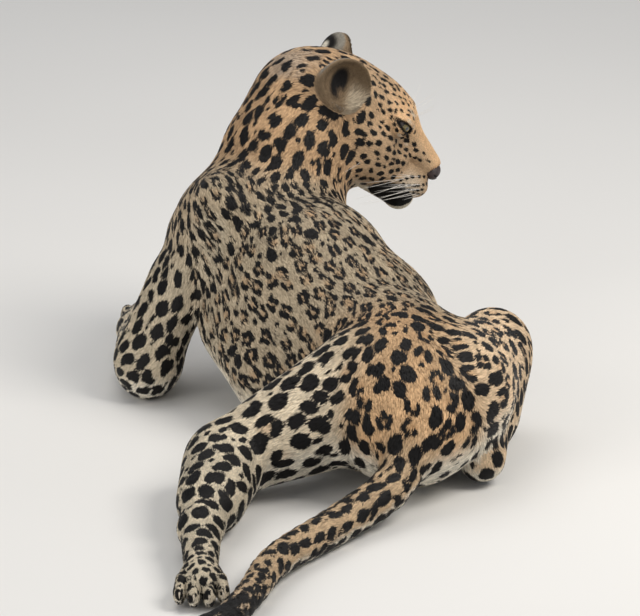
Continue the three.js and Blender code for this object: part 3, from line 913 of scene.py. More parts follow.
PALE_PATCHES = [((60, 26, -26), (26, 14, 17), 6, 0.7), ((44, 38, 24), (16, 10, 6), 3, 0.9),
                ((28, 24, 58), (13, 7, 6), 3, 0.6)]
LID_STREAKS = [((29, 42, 54), (52, 19, 38), 2.6, 0.85), ((26, 46, 34), (43, 25, 21), 2.2, 0.7)]


def ground_colours(p, n, parts, inner, tone):
    """The colour under the marks, and an edit of the marks' distance for plain and painted places."""
    trunk = share_of(parts, ["trunk"])
    up = n[:, 2]
    blends = np.array([[sum(share * tone[name][k] for name, share in GROUND[region].items())
                        for k in range(3)] for region in REGIONS])
    rump = trunk * smoothstep(-10, 105, p[:, 1])
    low_side = trunk * smoothstep(0.35, -0.1, up) * (1 - rump)
    colour = layered(shares(parts, 8) @ blends, tone, [
        ("tan", np.clip(rump, 0, 1)),
        ("cream", 0.45 * low_side),
        ("russet", 0.35 * trunk * smoothstep(-150, -240, p[:, 1])),
    ])
    colour *= (1 - 0.24 * trunk * smoothstep(0.4, 0.95, up))[:, None]
    colour *= (1 + 0.07 * waves(p, 50, 2) + 0.06 * waves(p, 16, 5))[:, None]
    limbs = share_of(parts, REGIONS[5:13])
    pale = np.clip(smoothstep(0.05, -0.55, up), 0, 1)
    pale *= 1 - share_of(parts, ["head", "ear_left", "ear_right"])
    pale = np.maximum(pale * smoothstep(160, 60, p[:, 2]), limbs * smoothstep(0.15, -0.45, up))
    pale = np.maximum(pale, 0.6 * smoothstep(26, 8, p[:, 2]))
    tail_end = share_of(parts, ["tail"]) * smoothstep(560, 740, p[:, 1])
    bald = np.linalg.norm((p - v(46, -352, 392)) / v(44, 36, 24), axis=1)
    worn = smoothstep(1.2, 0.5, bald + 0.25 * waves(p, 14, 1))
    coats = [
        ("cream", 0.12 * trunk * (1 - inner) * (1 - rump)),
        ("ring_centre", np.clip(inner * (0.45 + 0.2 * rump), 0, 1)),
        ("white", pale),
        ("grey", 0.5 * tail_end),
        ("grey", 0.6 * worn),
    ]
    edit = 2.5 * pale * trunk + 2.5 * worn - 3.0 * tail_end

    q = folded(head_place(p))
    x, side, z = q.T
    head = share_of(parts, ["head"], 4)
    bridge = head * smoothstep(30, 44, x) * smoothstep(20, 12, side) * smoothstep(-8, 4, z)
    edit += 9 * bridge
    # forehead and bridge of the nose in a lighter gold: partly the coat's own colour, partly painted light
    # on their upward faces
    coats += [("gold_and_painted_light", head * smoothstep(-30, 30, x) * smoothstep(18, 52, z)), ("gold_and_painted_light", 0.9 * bridge)]
    for centre, radii, soft, amount in PALE_PATCHES:
        coats.append(("white", head * amount * blot(q, v(*centre), v(*radii), soft)))
    for a, b, r, amount in LID_STREAKS:
        streak = head * amount * smoothstep(r + 1.5, r - 1, from_segment(q, v(*a), v(*b)))
        coats.append(("white", streak))
        edit += 6 * streak
    chin = head * smoothstep(-42, -50, z) * smoothstep(-10, 20, x)
    edit += 9 * chin
    throat = head * smoothstep(-30, -48, z) * smoothstep(30, 0, x)
    coats += [("white", chin), ("white", 0.7 * throat)]
    return layered(colour, tone, coats), edit


def face_marks(p, parts, spot):
    """Adds the marks every such face has: eye rims, whisker rows, black lips and cheek lines."""
    q = folded(head_place(p))
    x, side, z = q.T
    head = parts[:, 2] < parts.min(axis=1) + 3
    muzzle = smoothstep(50, 60, x) * smoothstep(10, 0, z)
    spot = spot + 8 * muzzle * head
    marks = [np.linalg.norm((q - place) * v(0.75, 0.75, 1), axis=1) - 2.2
             for row in WHISKER_ROWS for place in row]
    lip = np.maximum(z - np.interp(x, LIP_X, LIP_TOP), np.interp(x, LIP_X, LIP_LOW) - z)
    marks.append(np.maximum(lip, np.maximum(26 - x, 7 - side)))
    line = np.maximum(np.abs(z + 37.5) - 1.6, 94 - x - 8)
    marks.append(np.maximum(line, side - 26))
    behind = np.hypot(x + 24 - 12 * np.sin((z + 18) / 30), np.maximum(np.abs(z - 2) - 17, 0)) - 2
    marks.append(np.where(side > 40, behind, FAR))
    marks.append(np.hypot(np.hypot(np.maximum(np.abs(x - 77) - 4, 0), side - 17.5), z - 12) - 1.5)
    for eye in EYES.values():
        e = (p - eye["centre"]) @ eye["way"].T
        rim = np.where(e[:, 0] > 0, lid_gap(e) - 2.0, 25)
        tear = np.hypot(np.maximum(np.abs(e[:, 1] - 17) - 6, 0), e[:, 2] + 2 + 0.25 * (e[:, 1] - 12)) - 2.2
        marks.append(np.where(e[:, 0] > -6, np.minimum(rim, tear), FAR))
    return np.where(head, np.minimum(spot, np.min(marks, axis=0)), spot)


def ear_colours(p, n, colour, spot, parts, tone):
    """Dark backs with a pale spot, grey-brown cups with painted shade in their hollow and a pale front edge.
    """
    for column, ear in EAR_COLUMNS:
        on = smoothstep(2.0, 0.0, parts[:, column] - parts.min(axis=1))
        q = (p - ear["middle"]) @ ear["way"].T
        inside = on * smoothstep(-0.2, 0.35, n @ ear["way"][0]) * (q[:, 0] < 12)
        wide = np.hypot(q[:, 1], q[:, 2])
        back = on * (1 - inside)
        pale = back * (1 - smoothstep(9, 13, np.hypot(q[:, 1], (q[:, 2] - 10) * 1.2)))
        front = q[:, 1] * np.sign(SKULL[0] @ ear["way"][1])
        colour = layered(colour, tone, [
            ("spot", back),
            ("white", np.maximum(pale, back * smoothstep(26, 31, wide) * 0.3)),
            ("ear", inside),
            # painted shade: the spot colour laid in the deep hollow of the cup, where shade falls
            ("spot", inside * (1 - smoothstep(9, 15, np.hypot(front + 7, (q[:, 2] + 1) * 0.6)))),
            ("cream", inside * 0.4 * smoothstep(4, 16, front) * smoothstep(10, -12, q[:, 2])),
        ])
        spot = np.where(on > 0.3, np.maximum(spot, 12), spot)
    return colour, spot


def painted(p, n, marks, tone):
    """Ground colour and distance to the marks, at any points of the skin."""
    parts = region_depths(p)
    spot, inner, _ = read_marks(p, n, marks)
    colour, edit = ground_colours(p, n, parts, inner, tone)
    spot = face_marks(p, parts, spot + edit)
    return ear_colours(p, n, colour, spot, parts, tone)


# Materials


def group(name, inputs, outputs):
    """An empty shader node group with its sockets, and its input and output nodes."""
    tree = bpy.data.node_groups.new(name, "ShaderNodeTree")
    for label, kind, value in inputs:
        socket = tree.interface.new_socket(name=label, in_out="INPUT", socket_type="NodeSocket" + kind)
        socket.default_value = value
    for label, kind in outputs:
        tree.interface.new_socket(name=label, in_out="OUTPUT", socket_type="NodeSocket" + kind)
    return tree, tree.nodes.new("NodeGroupInput"), tree.nodes.new("NodeGroupOutput")


class Wire:
    """Adds nodes to a tree and links them."""

    def __init__(self, tree):
        self.tree = tree

    def add(self, kind, **settings):
        node = self.tree.nodes.new("ShaderNode" + kind)
        for key, value in settings.items():
            setattr(node, key, value)
        return node

    def link(self, start, end):
        self.tree.links.new(start, end)

    def feed(self, socket, value):
        if isinstance(value, bpy.types.NodeSocket):
            self.link(value, socket)
        else:
            socket.default_value = value

    def math(self, operation, a, b=0.0, c=0.0):
        node = self.add("Math", operation=operation)
        for socket, value in zip(node.inputs, (a, b, c)):
            self.feed(socket, value)
        return node.outputs[0]

    def mix(self, factor, a, b, blend="MIX"):
        node = self.add("Mix", data_type="RGBA", blend_type=blend)
        self.feed(node.inputs[0], factor)
        self.feed(node.inputs[6], a)
        self.feed(node.inputs[7], b)
        return node.outputs[2]

    def steps(self, value, lo, hi, to_lo=0.0, to_hi=1.0):
        node = self.add("MapRange", interpolation_type="SMOOTHSTEP")
        for socket, x in zip(node.inputs, (value, lo, hi, to_lo, to_hi)):
            self.feed(socket, x)
        return node.outputs[0]

    def noise(self, scale, detail=2.0, place=None):
        node = self.add("TexNoise")
        node.inputs["Scale"].default_value = scale
        node.inputs["Detail"].default_value = detail
        if place is None:
            place = self.add("TexCoord").outputs["Object"]
        self.link(place, node.inputs["Vector"])
        return node.outputs["Fac"]

    def bump(self, height, strength, distance, shader, inward=False):
        node = self.add("Bump", invert=inward)
        node.inputs["Strength"].default_value = strength
        node.inputs["Distance"].default_value = distance
        self.link(height, node.inputs["Height"])
        self.link(node.outputs[0], shader.inputs["Normal"])


def markings_group():
    """Lays the dark marks over the ground colour, with hairy edges and a fine grain."""
    if "leopard_markings" in bpy.data.node_groups:
        return bpy.data.node_groups["leopard_markings"]
    tree, inp, out = group("leopard_markings", [
        ("Ground", "Color", (0.6, 0.4, 0.2, 1)), ("Mark", "Color", (0.02, 0.02, 0.02, 1)),
        ("Distance", "Float", 10.0), ("Lock", "Float", 0.5), ("Fray", "Float", 1.5), ("Grain", "Float", 0.2),
    ], [("Colour", "Color"), ("Mask", "Float")])
    w = Wire(tree)
    fine = w.noise(520)
    broad = w.noise(38)
    fray = inp.outputs["Fray"]
    off = w.math("SUBTRACT", inp.outputs["Lock"], 0.5)
    frayed = w.math("MULTIPLY_ADD", w.math("SUBTRACT", fine, 0.5), w.math("MULTIPLY", fray, 2.0),
                    inp.outputs["Distance"])
    frayed = w.math("MULTIPLY_ADD", off, fray, frayed)
    mask = w.steps(frayed, 0.7, -0.7)
    light = w.math("MULTIPLY_ADD", off, inp.outputs["Grain"], 1.0)
    light = w.math("MULTIPLY", light, w.steps(broad, 0.3, 0.7, 0.93, 1.06))
    light = w.math("MULTIPLY", light, w.steps(fine, 0.2, 0.8, 0.9, 1.08))
    bright = w.add("VectorMath", operation="SCALE")
    w.link(inp.outputs["Ground"], bright.inputs[0])
    w.link(light, bright.inputs["Scale"])
    colour = w.mix(mask, bright.outputs[0], inp.outputs["Mark"])
    w.link(colour, out.inputs["Colour"])
    w.link(mask, out.inputs["Mask"])
    return tree


def new_material(name):
    mat = bpy.data.materials.new(name)
    mat.use_nodes = True
    shader = mat.node_tree.nodes["Principled BSDF"]
    return mat, Wire(mat.node_tree), shader


def mottled_material(name, scale, dark, light, rough):
    """A plain material that wavers between two colours."""
    mat, w, shader = new_material(name)
    w.link(w.mix(w.steps(w.noise(scale), 0.3, 0.7), dark, light), shader.inputs["Base Color"])
    shader.inputs["Roughness"].default_value = rough
    return mat


def fur_material(name, tone, fray, grain, on_skin):
    mat, w, shader = new_material(name)
    ground = w.add("Attribute", attribute_name="ground").outputs["Color"]
    spot = w.add("Attribute", attribute_name="spot").outputs["Fac"]
    marks = w.add("Group")
    marks.node_tree = markings_group()
    w.link(ground, marks.inputs["Ground"])
    w.link(spot, marks.inputs["Distance"])
    marks.inputs["Mark"].default_value = (*tone["spot"], 1)
    marks.inputs["Fray"].default_value = fray
    marks.inputs["Grain"].default_value = grain
    if on_skin:
        w.link(w.noise(900, 1.0), marks.inputs["Lock"])
        w.bump(w.noise(1100), 0.5, 0.0008, shader)
    else:
        w.link(w.add("Attribute", attribute_name="lock").outputs["Fac"], marks.inputs["Lock"])
    w.link(marks.outputs["Colour"], shader.inputs["Base Color"])
    w.link(w.steps(marks.outputs["Mask"], 0.0, 1.0, 0.74, 0.55), shader.inputs["Roughness"])
    shader.inputs["Specular IOR Level"].default_value = 0.2
    shader.inputs["Sheen Weight"].default_value = 0.05
    shader.inputs["Sheen Roughness"].default_value = 0.45
    return mat


# Sizes and colours a user may change


def length_prop(name, description, default):
    return bpy.props.FloatProperty(name=name, description=description, default=default, min=0.0005, max=0.3,
                                   unit="LENGTH", precision=4)


def colour_prop(name, description, default):
    return bpy.props.FloatVectorProperty(name=name, description=description, default=default, size=3,
                                         subtype="COLOR", min=0, max=1)


class LeopardSizes(bpy.types.PropertyGroup):
    back_hair: length_prop("Back hair", "Length of the hair on back, sides and thighs", 0.0115)
    face_hair: length_prop("Face hair", "Length of the hair on the muzzle and forehead", 0.0042)
    belly_hair: length_prop("Belly hair", "Length of the hair under the belly and throat", 0.017)
    whisker: length_prop("Whisker", "Length of the longest whisker", 0.078)
    claw: length_prop("Claw", "How far a claw shows past its toe", 0.006)
    density: bpy.props.FloatProperty(name="Density", description="Multiplies the number of tufts",
                                     default=1.0, min=0.05, max=1.2)
    skin_grid: length_prop("Skin grid", "Distance between the points of the body's skin", 0.0062)
    face_grid: length_prop("Face grid", "Distance between the points of the head's skin", 0.0026)


class LeopardColours(bpy.types.PropertyGroup):
    dun: colour_prop("Dun", "Ground colour of the back and sides", srgb(178, 160, 133))
    russet: colour_prop("Russet", "Ground colour of the neck, withers and cheeks", srgb(184, 151, 115))
    tan: colour_prop("Tan", "Ground colour of the rump and right hind leg", srgb(208, 170, 128))
    cream: colour_prop("Cream", "Ground colour of the left hind leg", srgb(218, 206, 182))
    white: colour_prop("White", "Belly, inner legs, chin and lips", srgb(228, 220, 203))
    # lighter gold of forehead and bridge: partly the coat's own colour, partly painted light from above
    gold_and_painted_light: colour_prop("Gold", "Forehead and bridge of the nose", srgb(222, 184, 141))
    ring_centre: colour_prop("Ring centre", "Inside the open rings", srgb(192, 152, 110))
    spot: colour_prop("Spot", "The dark marks", srgb(16, 14, 14))
    grey: colour_prop("Grey", "End of the tail", srgb(150, 142, 132))
    ear: colour_prop("Ear", "Inside the ear", srgb(118, 99, 76))
    iris: colour_prop("Iris", "Iris of the eye", srgb(120, 106, 60))
    leather: colour_prop("Nose leather", "Skin of the nose", srgb(50, 38, 38))


MADE = {}


def sizes():
    return bpy.context.scene.leopard_sizes


def tones():
    c = bpy.context.scene.leopard_colours
    return {name: tuple(getattr(c, name)) for name in LeopardColours.__annotations__}


# Skin


def refine(points, faces, wanted):
    """Splits the edges whose middle is wanted, and the faces beside them to match."""
    ob = add_mesh("refine", points, faces)
    me = ob.data
    ends = np.empty(len(me.edges) * 2, int)
    me.edges.foreach_get("vertices", ends)
    pick = wanted(points_of(me)[ends.reshape(-1, 2)].mean(axis=1))
    bm = bmesh.new()
    bm.from_mesh(me)
    bm.edges.ensure_lookup_table()
    edges = [bm.edges[int(i)] for i in np.nonzero(pick)[0]]
    bmesh.ops.subdivide_edges(bm, edges=edges, cuts=1, use_grid_fill=True)
    bmesh.ops.triangulate(bm, faces=[f for f in bm.faces if len(f.verts) > 4])
    bm.to_mesh(me)
    bm.free()
    return ob


def triangles_of(me):
    me.calc_loop_triangles()
    tri = np.empty(len(me.loop_triangles) * 3, np.int32)
    me.loop_triangles.foreach_get("vertices", tri)
    return tri.reshape(-1, 3)


def doubled_areas(corners):
    """Twice the area of each triangle."""
    return np.linalg.norm(np.cross(corners[:, 1] - corners[:, 0], corners[:, 2] - corners[:, 0]), axis=1)


def detailed(p):
    """Places of the skin that need smaller faces: eyes, nose, mouth and toes."""
    x, y, z = head_place(p).T
    out = (x > 18) & (np.abs(y) < 60) & (z > -70) & (z < 60) & (x < 120)
    for place, reach in zip(PAWS, (52, 50, 52, 50)):
        out |= np.linalg.norm(p - place - v(0, 0, 10), axis=1) < reach
    return out


def skin_lines():
    """Grid lines along each axis, close together round the head."""
    coarse, fine = sizes().skin_grid / MM, sizes().face_grid / MM
    lo, hi = CAD_BOX[0] / MM, CAD_BOX[1] / MM
    return [graded(lo[0] - 12, hi[0] + 10, -150, 22, fine, coarse),
            graded(lo[1] - 12, hi[1] + 12, -462, -300, fine, coarse),
            graded(-8, hi[2] + 8, 205, 412, fine, coarse)]


def build_skin():
    """The one skin with its points, normals, marks and paint, kept in MADE for the coat."""
    points, faces = wrap(skin_depth, skin_lines())
    ob = refine(points, faces, detailed)
    ob.name = ob.data.name = "skin"
    triangles = triangles_of(ob.data)
    points = settle(skin_depth, points_of(ob.data), 2)
    normals = slope(skin_depth, points)
    ob.data.vertices.foreach_set("co", (points * MM).astype(np.float32).ravel())
    ob.data.polygons.foreach_set("use_smooth", np.ones(len(ob.data.polygons), bool))
    parts = region_depths(points)
    area = np.bincount(triangles.ravel(), doubled_areas(points[triangles]).repeat(3), len(points))
    marks = plan_marks(points, normals, parts, area)
    MADE.update(points=points, normals=normals, triangles=triangles, marks=marks, parts=parts)
    paint_attributes(ob, *painted(points, normals, marks, tones()))
    dress(ob, "coat", fur_material("skin", tones(), 0.9, 0.25, True), *FLESH_NODES)
    return ob


def paint_attributes(ob, colour, spot, lock=None):
    ground = ob.data.attributes.new("ground", "FLOAT_COLOR", "POINT")
    opaque = np.hstack([colour, np.ones((len(colour), 1))])
    ground.data.foreach_set("color", opaque.astype(np.float32).ravel())
    add_values(ob, "spot", spot)
    if lock is not None:
        add_values(ob, "lock", lock)


# Coat


def unwrap(points, triangles):
    """Places on a flat unwrap of part of the skin, one per corner of each triangle."""
    used, index = np.unique(triangles, return_inverse=True)
    ob = add_mesh("unwrap", points[used], index.reshape(-1, 3))
    bpy.context.view_layer.objects.active = ob
    for other in bpy.context.selected_objects:
        other.select_set(False)
    ob.select_set(True)
    ob.data.uv_layers.new(name="OFBake")
    bpy.ops.object.mode_set(mode="EDIT")
    bpy.ops.mesh.select_all(action="SELECT")
    bpy.ops.uv.smart_project(angle_limit=math.radians(66), island_margin=0.004)
    bpy.ops.object.mode_set(mode="OBJECT")
    uv = np.empty(len(ob.data.loops) * 2, np.float32)
    ob.data.uv_layers["OFBake"].data.foreach_get("uv", uv)
    mesh = ob.data
    bpy.data.objects.remove(ob)
    bpy.data.meshes.remove(mesh)
    return uv.reshape(-1, 3, 2)


def coat_plan(p, n, parts):
    """Length, width, lift and density of the hair at points of the skin."""
    size = sizes()
    back, face, belly = size.back_hair / MM, size.face_hair / MM, size.belly_hair / MM
    table = dict.fromkeys(REGIONS, back)
    table["head"] = face
    for side in ("_left", "_right"):
        table["ear" + side] = 3.6
        for name, short in (("arm", 0.85), ("fore", 0.62), ("shank", 0.7)):
            table[name + side] = back * short
    w = shares(parts, 6)
    length = w @ np.array([table[name] for name in REGIONS])
    q = head_place(p)
    head = w[:, 2]
    jowl = 3.5 * smoothstep(-25, -50, q[:, 2]) * smoothstep(40, 0, q[:, 0])
    length += head * (3.6 * smoothstep(20, -40, q[:, 0]) + jowl)
    length -= head * 1.2 * smoothstep(50, 90, q[:, 0])
    for column, ear in EAR_COLUMNS:
        e = (p - ear["middle"]) @ ear["way"].T
        front = e[:, 1] * np.sign(SKULL[0] @ ear["way"][1])
        inside = w[:, column] * smoothstep(-0.2, 0.35, n @ ear["way"][0])
        length += 6.5 * inside * smoothstep(0, 14, front) * smoothstep(16, -8, e[:, 2])
    low = smoothstep(-0.1, -0.7, n[:, 2]) * smoothstep(120, 50, p[:, 2]) * share_of(parts, ["trunk"])
    length += (belly - back) * low
    for place in PAWS:
        length *= 1 - 0.45 * smoothstep(90, 40, np.linalg.norm(p - place, axis=1))
    width = 0.5 + 0.125 * length
    lift = 0.3 + 0.085 * length
    density = 3.1 / (length * width * 0.5)
    density *= 1 - 0.8 * smoothstep(-0.55, -0.85, n[:, 2]) * smoothstep(14, 6, p[:, 2])
    return length, width, lift, density


def coat_piece_of(p, parts):
    """Number of the coat piece that each point belongs to."""
    nearest = parts.argmin(axis=1)
    q = head_place(p)
    table = np.array([4, 3, 0, 2, 2, 7, 7, 8, 8, 9, 9, 10, 10, 11])
    out = table[nearest]
    head = nearest == 2
    out[head & (q[:, 0] < 8)] = 1
    out[(nearest == 0) & (p[:, 1] > -165)] = 5
    out[(nearest == 0) & (p[:, 1] > 10)] = 6
    return out


MOST_TUFTS = 49000
COAT_PIECES = ["coat_" + name for name in (
    "face", "crown", "ears", "neck", "shoulders", "sides", "rump", "left_foreleg", "right_foreleg",
    "left_hind_leg", "right_hind_leg", "tail")]


def strewn(mine, rng):
    """Places strewn over some triangles of the skin: points, normals and places on their unwrap."""
    triangles = MADE["triangles"][mine]
    corners = MADE["points"][triangles]
    weight = doubled_areas(corners) / 2 * MADE["density"][mine] * sizes().density
    count = int(min(weight.sum(), MOST_TUFTS))
    uv = unwrap(MADE["points"], triangles)
    ends = np.cumsum(weight) / weight.sum()
    face = np.searchsorted(ends, (np.arange(count) + rng.random(count)) / count)
    face = np.minimum(face, len(mine) - 1)
    a, b = rng.random(count), rng.random(count)
    over = a + b > 1
    a[over], b[over] = 1 - a[over], 1 - b[over]
    share = np.stack([1 - a - b, a, b], axis=1)[:, :, None]
    normals = MADE["normals"][triangles]
    return [(at_corners[face] * share).sum(axis=1) for at_corners in (corners, normals, uv)]


def build_coat_piece(number, material, tone):
    """Tufts over one part of the skin, each a ridged leaf of four triangles."""
    rng = np.random.default_rng(100 + number)
    p, n, place = strewn(np.nonzero(MADE["piece_of"] == number)[0], rng)
    n, count = unit(n), len(p)
    parts = region_depths(p)
    flow = lie(p, n, parts)
    length, width, lift, _ = coat_plan(p, n, parts)
    length = length * rng.uniform(0.75, 1.2, count)
    width = width * rng.uniform(0.8, 1.25, count)
    lift = lift * rng.uniform(0.4, 1.7, count)
    turn = rng.normal(0, 0.16, count)[:, None]
    side = np.cross(n, flow)
    flow, side = unit(flow + side * turn), unit(side - flow * turn)
    near = painted(p + flow * (length * 0.2)[:, None], n, MADE["marks"], tone)
    far = painted(p + flow * (length * 0.75)[:, None], n, MADE["marks"], tone)
    colour, spot = (near[0] + far[0]) / 2, np.stack([near[1], (near[1] + far[1]) / 2, far[1]], axis=1)

    def raised(along, height):
        out = p + flow * (length * along)[:, None] + n * height[:, None]
        off = height - skin_depth(out)
        return out + n * np.clip(off, -length * 0.6, length * 0.6)[:, None]

    mid = raised(0.42, lift * 0.6)
    tip = raised(1.0, lift)
    root = p - n * 0.3
    half = (side.T * width / 2).T
    verts = np.stack([root, mid + half, mid + n * (width * 0.3)[:, None], mid - half, tip], axis=1)
    verts[:, :, 2] = np.maximum(verts[:, :, 2], 0.25)
    leaf = np.array([[0, 2, 1], [0, 3, 2], [1, 2, 4], [2, 3, 4]])
    faces = (np.arange(count)[:, None, None] * 5 + leaf).reshape(-1, 3)
    ob = add_mesh(COAT_PIECES[number], verts.reshape(-1, 3), faces)
    lock = rng.random(count)
    paint_attributes(ob, colour.repeat(5, 0), spot[:, [0, 1, 1, 1, 2]].ravel(), lock.repeat(5))
    patch = np.array([[0, 0], [0.42, 0.5], [0.42, 0], [0.42, -0.5], [1, 0]]) * 0.003
    layer = ob.data.uv_layers.new(name="OFBake")
    corner_uv = (place[:, None, None, :] + patch[leaf][None]).reshape(-1, 2)
    layer.data.foreach_set("uv", corner_uv.astype(np.float32).ravel())
    soft = unit(n[:, None, :] + 0.35 * np.stack([-flow, side, n, -side, flow], axis=1))
    ob.data.normals_split_custom_set_from_vertices(soft.reshape(-1, 3).astype(np.float32))
    return dress(ob, "coat", material)


def build_coat():
    """Shares the skin out among the pieces of the coat, then makes each."""
    if "points" not in MADE:
        raise RuntimeError("make the skin before the coat")
    middle, normal, parts = (MADE[name][MADE["triangles"]].mean(axis=1)
                             for name in ("points", "normals", "parts"))
    density = coat_plan(middle, unit(normal), parts)[3]
    MADE.update(piece_of=coat_piece_of(middle, parts), density=density)
    tone = tones()
    material = fur_material("coat", tone, 1.0, 0.55, False)
    for number in range(len(COAT_PIECES)):
        build_coat_piece(number, material, tone)


# Eyes, nose, whiskers, claws


def times(colour, factor):
    """A colour made darker or lighter, with its alpha."""
    return (*(min(c * factor, 1) for c in colour), 1)


def eye_material(tone):
    mat, w, shader = new_material("eye")
    at = w.add("Attribute", attribute_name="iris").outputs["Fac"]
    turn = w.add("Attribute", attribute_name="turn").outputs["Fac"]
    streak = w.add("CombineXYZ")
    w.link(w.math("MULTIPLY", turn, 9.0), streak.inputs[0])
    w.link(w.math("MULTIPLY", at, 0.6), streak.inputs[1])
    rays = w.noise(3.0, 3.0, streak.outputs[0])
    iris = tone["iris"]
    inner = w.mix(w.steps(rays, 0.35, 0.65), times(iris, 0.55), times(iris, 1.35))
    ringed = w.mix(w.steps(at, 0.72, 1.0), inner, times(iris, 0.16))
    ball = w.mix(w.steps(at, 1.0, 1.08), ringed, (0.05, 0.035, 0.028, 1))
    colour = w.mix(w.steps(at, 0.34, 0.28), ball, (0.004, 0.004, 0.005, 1))
    w.link(colour, shader.inputs["Base Color"])
    shader.inputs["Roughness"].default_value = 0.12
    shader.inputs["Coat Weight"].default_value = 1.0
    shader.inputs["Coat Roughness"].default_value = 0.02
    return mat


def ring_faces(rings, around):
    """Four-sided faces between rings of points."""
    i, k = np.divmod(np.arange(rings * around), around)
    m = (k + 1) % around
    corners = [i * around + k, i * around + m, (i + 1) * around + m, (i + 1) * around + k]
    return np.stack(corners, axis=1)


def build_eye(side, material):
    """An eyeball with a raised clear front, an iris and a round pupil."""
    eye = EYES[side]
    rings, around = 26, 32
    rows, at, turns = [], [], []
    for i in range(rings + 1):
        a = math.pi * (i / rings) ** 1.25
        bulge = 0.9 * float(smoothstep(0.62, 0.0, a))
        r = EYE_RADIUS - 0.15 + bulge
        for k in range(around):
            t = 2 * math.pi * k / around
            rows.append(v(math.cos(a), math.sin(a) * math.cos(t), math.sin(a) * math.sin(t)) * r)
            at.append(a / 0.58)
            turns.append(t)
    points = eye["centre"] + np.array(rows) @ eye["way"]
    faces = ring_faces(rings, around)[:, [0, 3, 2, 1]]
    mid = points[faces].mean(axis=1)
    out = np.cross(points[faces[:, 1]] - points[faces[:, 0]], points[faces[:, 3]] - points[faces[:, 1]])
    if np.einsum("ij,ij->", out, mid - eye["centre"]) < 0:
        faces = faces[:, ::-1]
    ob = add_mesh("eyeball_" + side, points, faces)
    add_values(ob, "iris", at)
    add_values(ob, "turn", turns)
    weld(ob)
    return dress(ob, "eye", material, "eye_" + side)


def build_eyes():
    material = eye_material(tones())
    for side in EYES:
        build_eye(side, material)


def weld(ob):
    """Joins the points that lie on one another at the poles of an eyeball."""
    bm = bmesh.new()
    bm.from_mesh(ob.data)
    bmesh.ops.remove_doubles(bm, verts=bm.verts, dist=0.00002)
    bm.to_mesh(ob.data)
    bm.free()


def nose_depth(p):
    """The nose leather: a rounded wedge with two nostrils that curl outward and a middle groove."""
    x, y, z = head_place(p).T
    d = egg(in_head(88.5, 0, -1), SKULL, (12.5, 16.5, 11.5))["distance"](p)
    side = np.abs(y)
    wing = np.hypot(np.hypot(x - 92, side - 9.5), (z + 3) * 1.05) - 7
    d = smooth_min(d, wing, 4)
    hole = np.hypot(np.hypot((x - 100) / 2.4, side - 6.8), (z + 3.5) / 1.25) - 2.5
    rise = (z + 3.8 - 0.25 * (side - 9)) / 0.55
    curl = np.hypot(np.hypot((x - 95) / 2.2, (side - 12.5) / 1.7), rise) - 2.6
    d = -smooth_min(-d, smooth_min(hole, curl, 2.5), 1.2)
    groove = np.hypot(side, np.maximum(z + 3, 0) * 0.6) - 0.9 + np.maximum(96 - x, 0)
    return -smooth_min(-d, groove, 1.2)


def nose_material(tone):
    mat, w, shader = new_material("nose_leather")
    pebble = w.add("TexVoronoi", feature="F1")
    pebble.inputs["Scale"].default_value = 1150
    w.link(w.add("TexCoord").outputs["Object"], pebble.inputs["Vector"])
    dark = tone["leather"]
    shade = w.mix(w.steps(w.noise(160, 3.0), 0.35, 0.7), times(dark, 0.6), times(dark, 1.5))
    w.link(shade, shader.inputs["Base Color"])
    w.link(w.steps(pebble.outputs["Distance"], 0.0, 0.6, 0.32, 0.55), shader.inputs["Roughness"])
    w.bump(pebble.outputs["Distance"], 0.6, 0.0004, shader, inward=True)
    return mat


def build_nose():
    centre = in_head(90, 0, -2)
    lines = [np.arange(c - 24, c + 24.1, 0.9)[:53] for c in centre]
    points, faces = wrap(nose_depth, lines)
    points = settle(nose_depth, points, 2, 0.8)
    ob = add_mesh("nose_pad", points, faces)
    return dress(ob, "nose", nose_material(tones()), "nose")


def hair_tube(path, r, sides):
    """A thin tube that tapers to a point along a path."""
    t = unit(np.gradient(path, axis=0))
    u = unit(np.cross(t, v(0.3, 0.2, 0.9)))
    w = np.cross(t, u)
    radii = r * (1 - np.linspace(0, 1, len(path))) ** 0.7 + 0.03
    verts = []
    for k in range(sides):
        a = 2 * math.pi * k / sides
        verts.append(path + radii[:, None] * (u * math.cos(a) + w * math.sin(a)))
    verts = np.stack(verts, axis=1).reshape(-1, 3)
    return verts, ring_faces(len(path) - 1, sides)


def add_tubes(name, tubes, sides):
    """One mesh of tapering tubes, each from its path and radius."""
    verts, faces, first = [], [], 0
    for path, r in tubes:
        points, sheet = hair_tube(path, r, sides)
        verts.append(points)
        faces.append(sheet + first)
        first += len(points)
    return add_mesh(name, np.concatenate(verts), np.concatenate(faces))


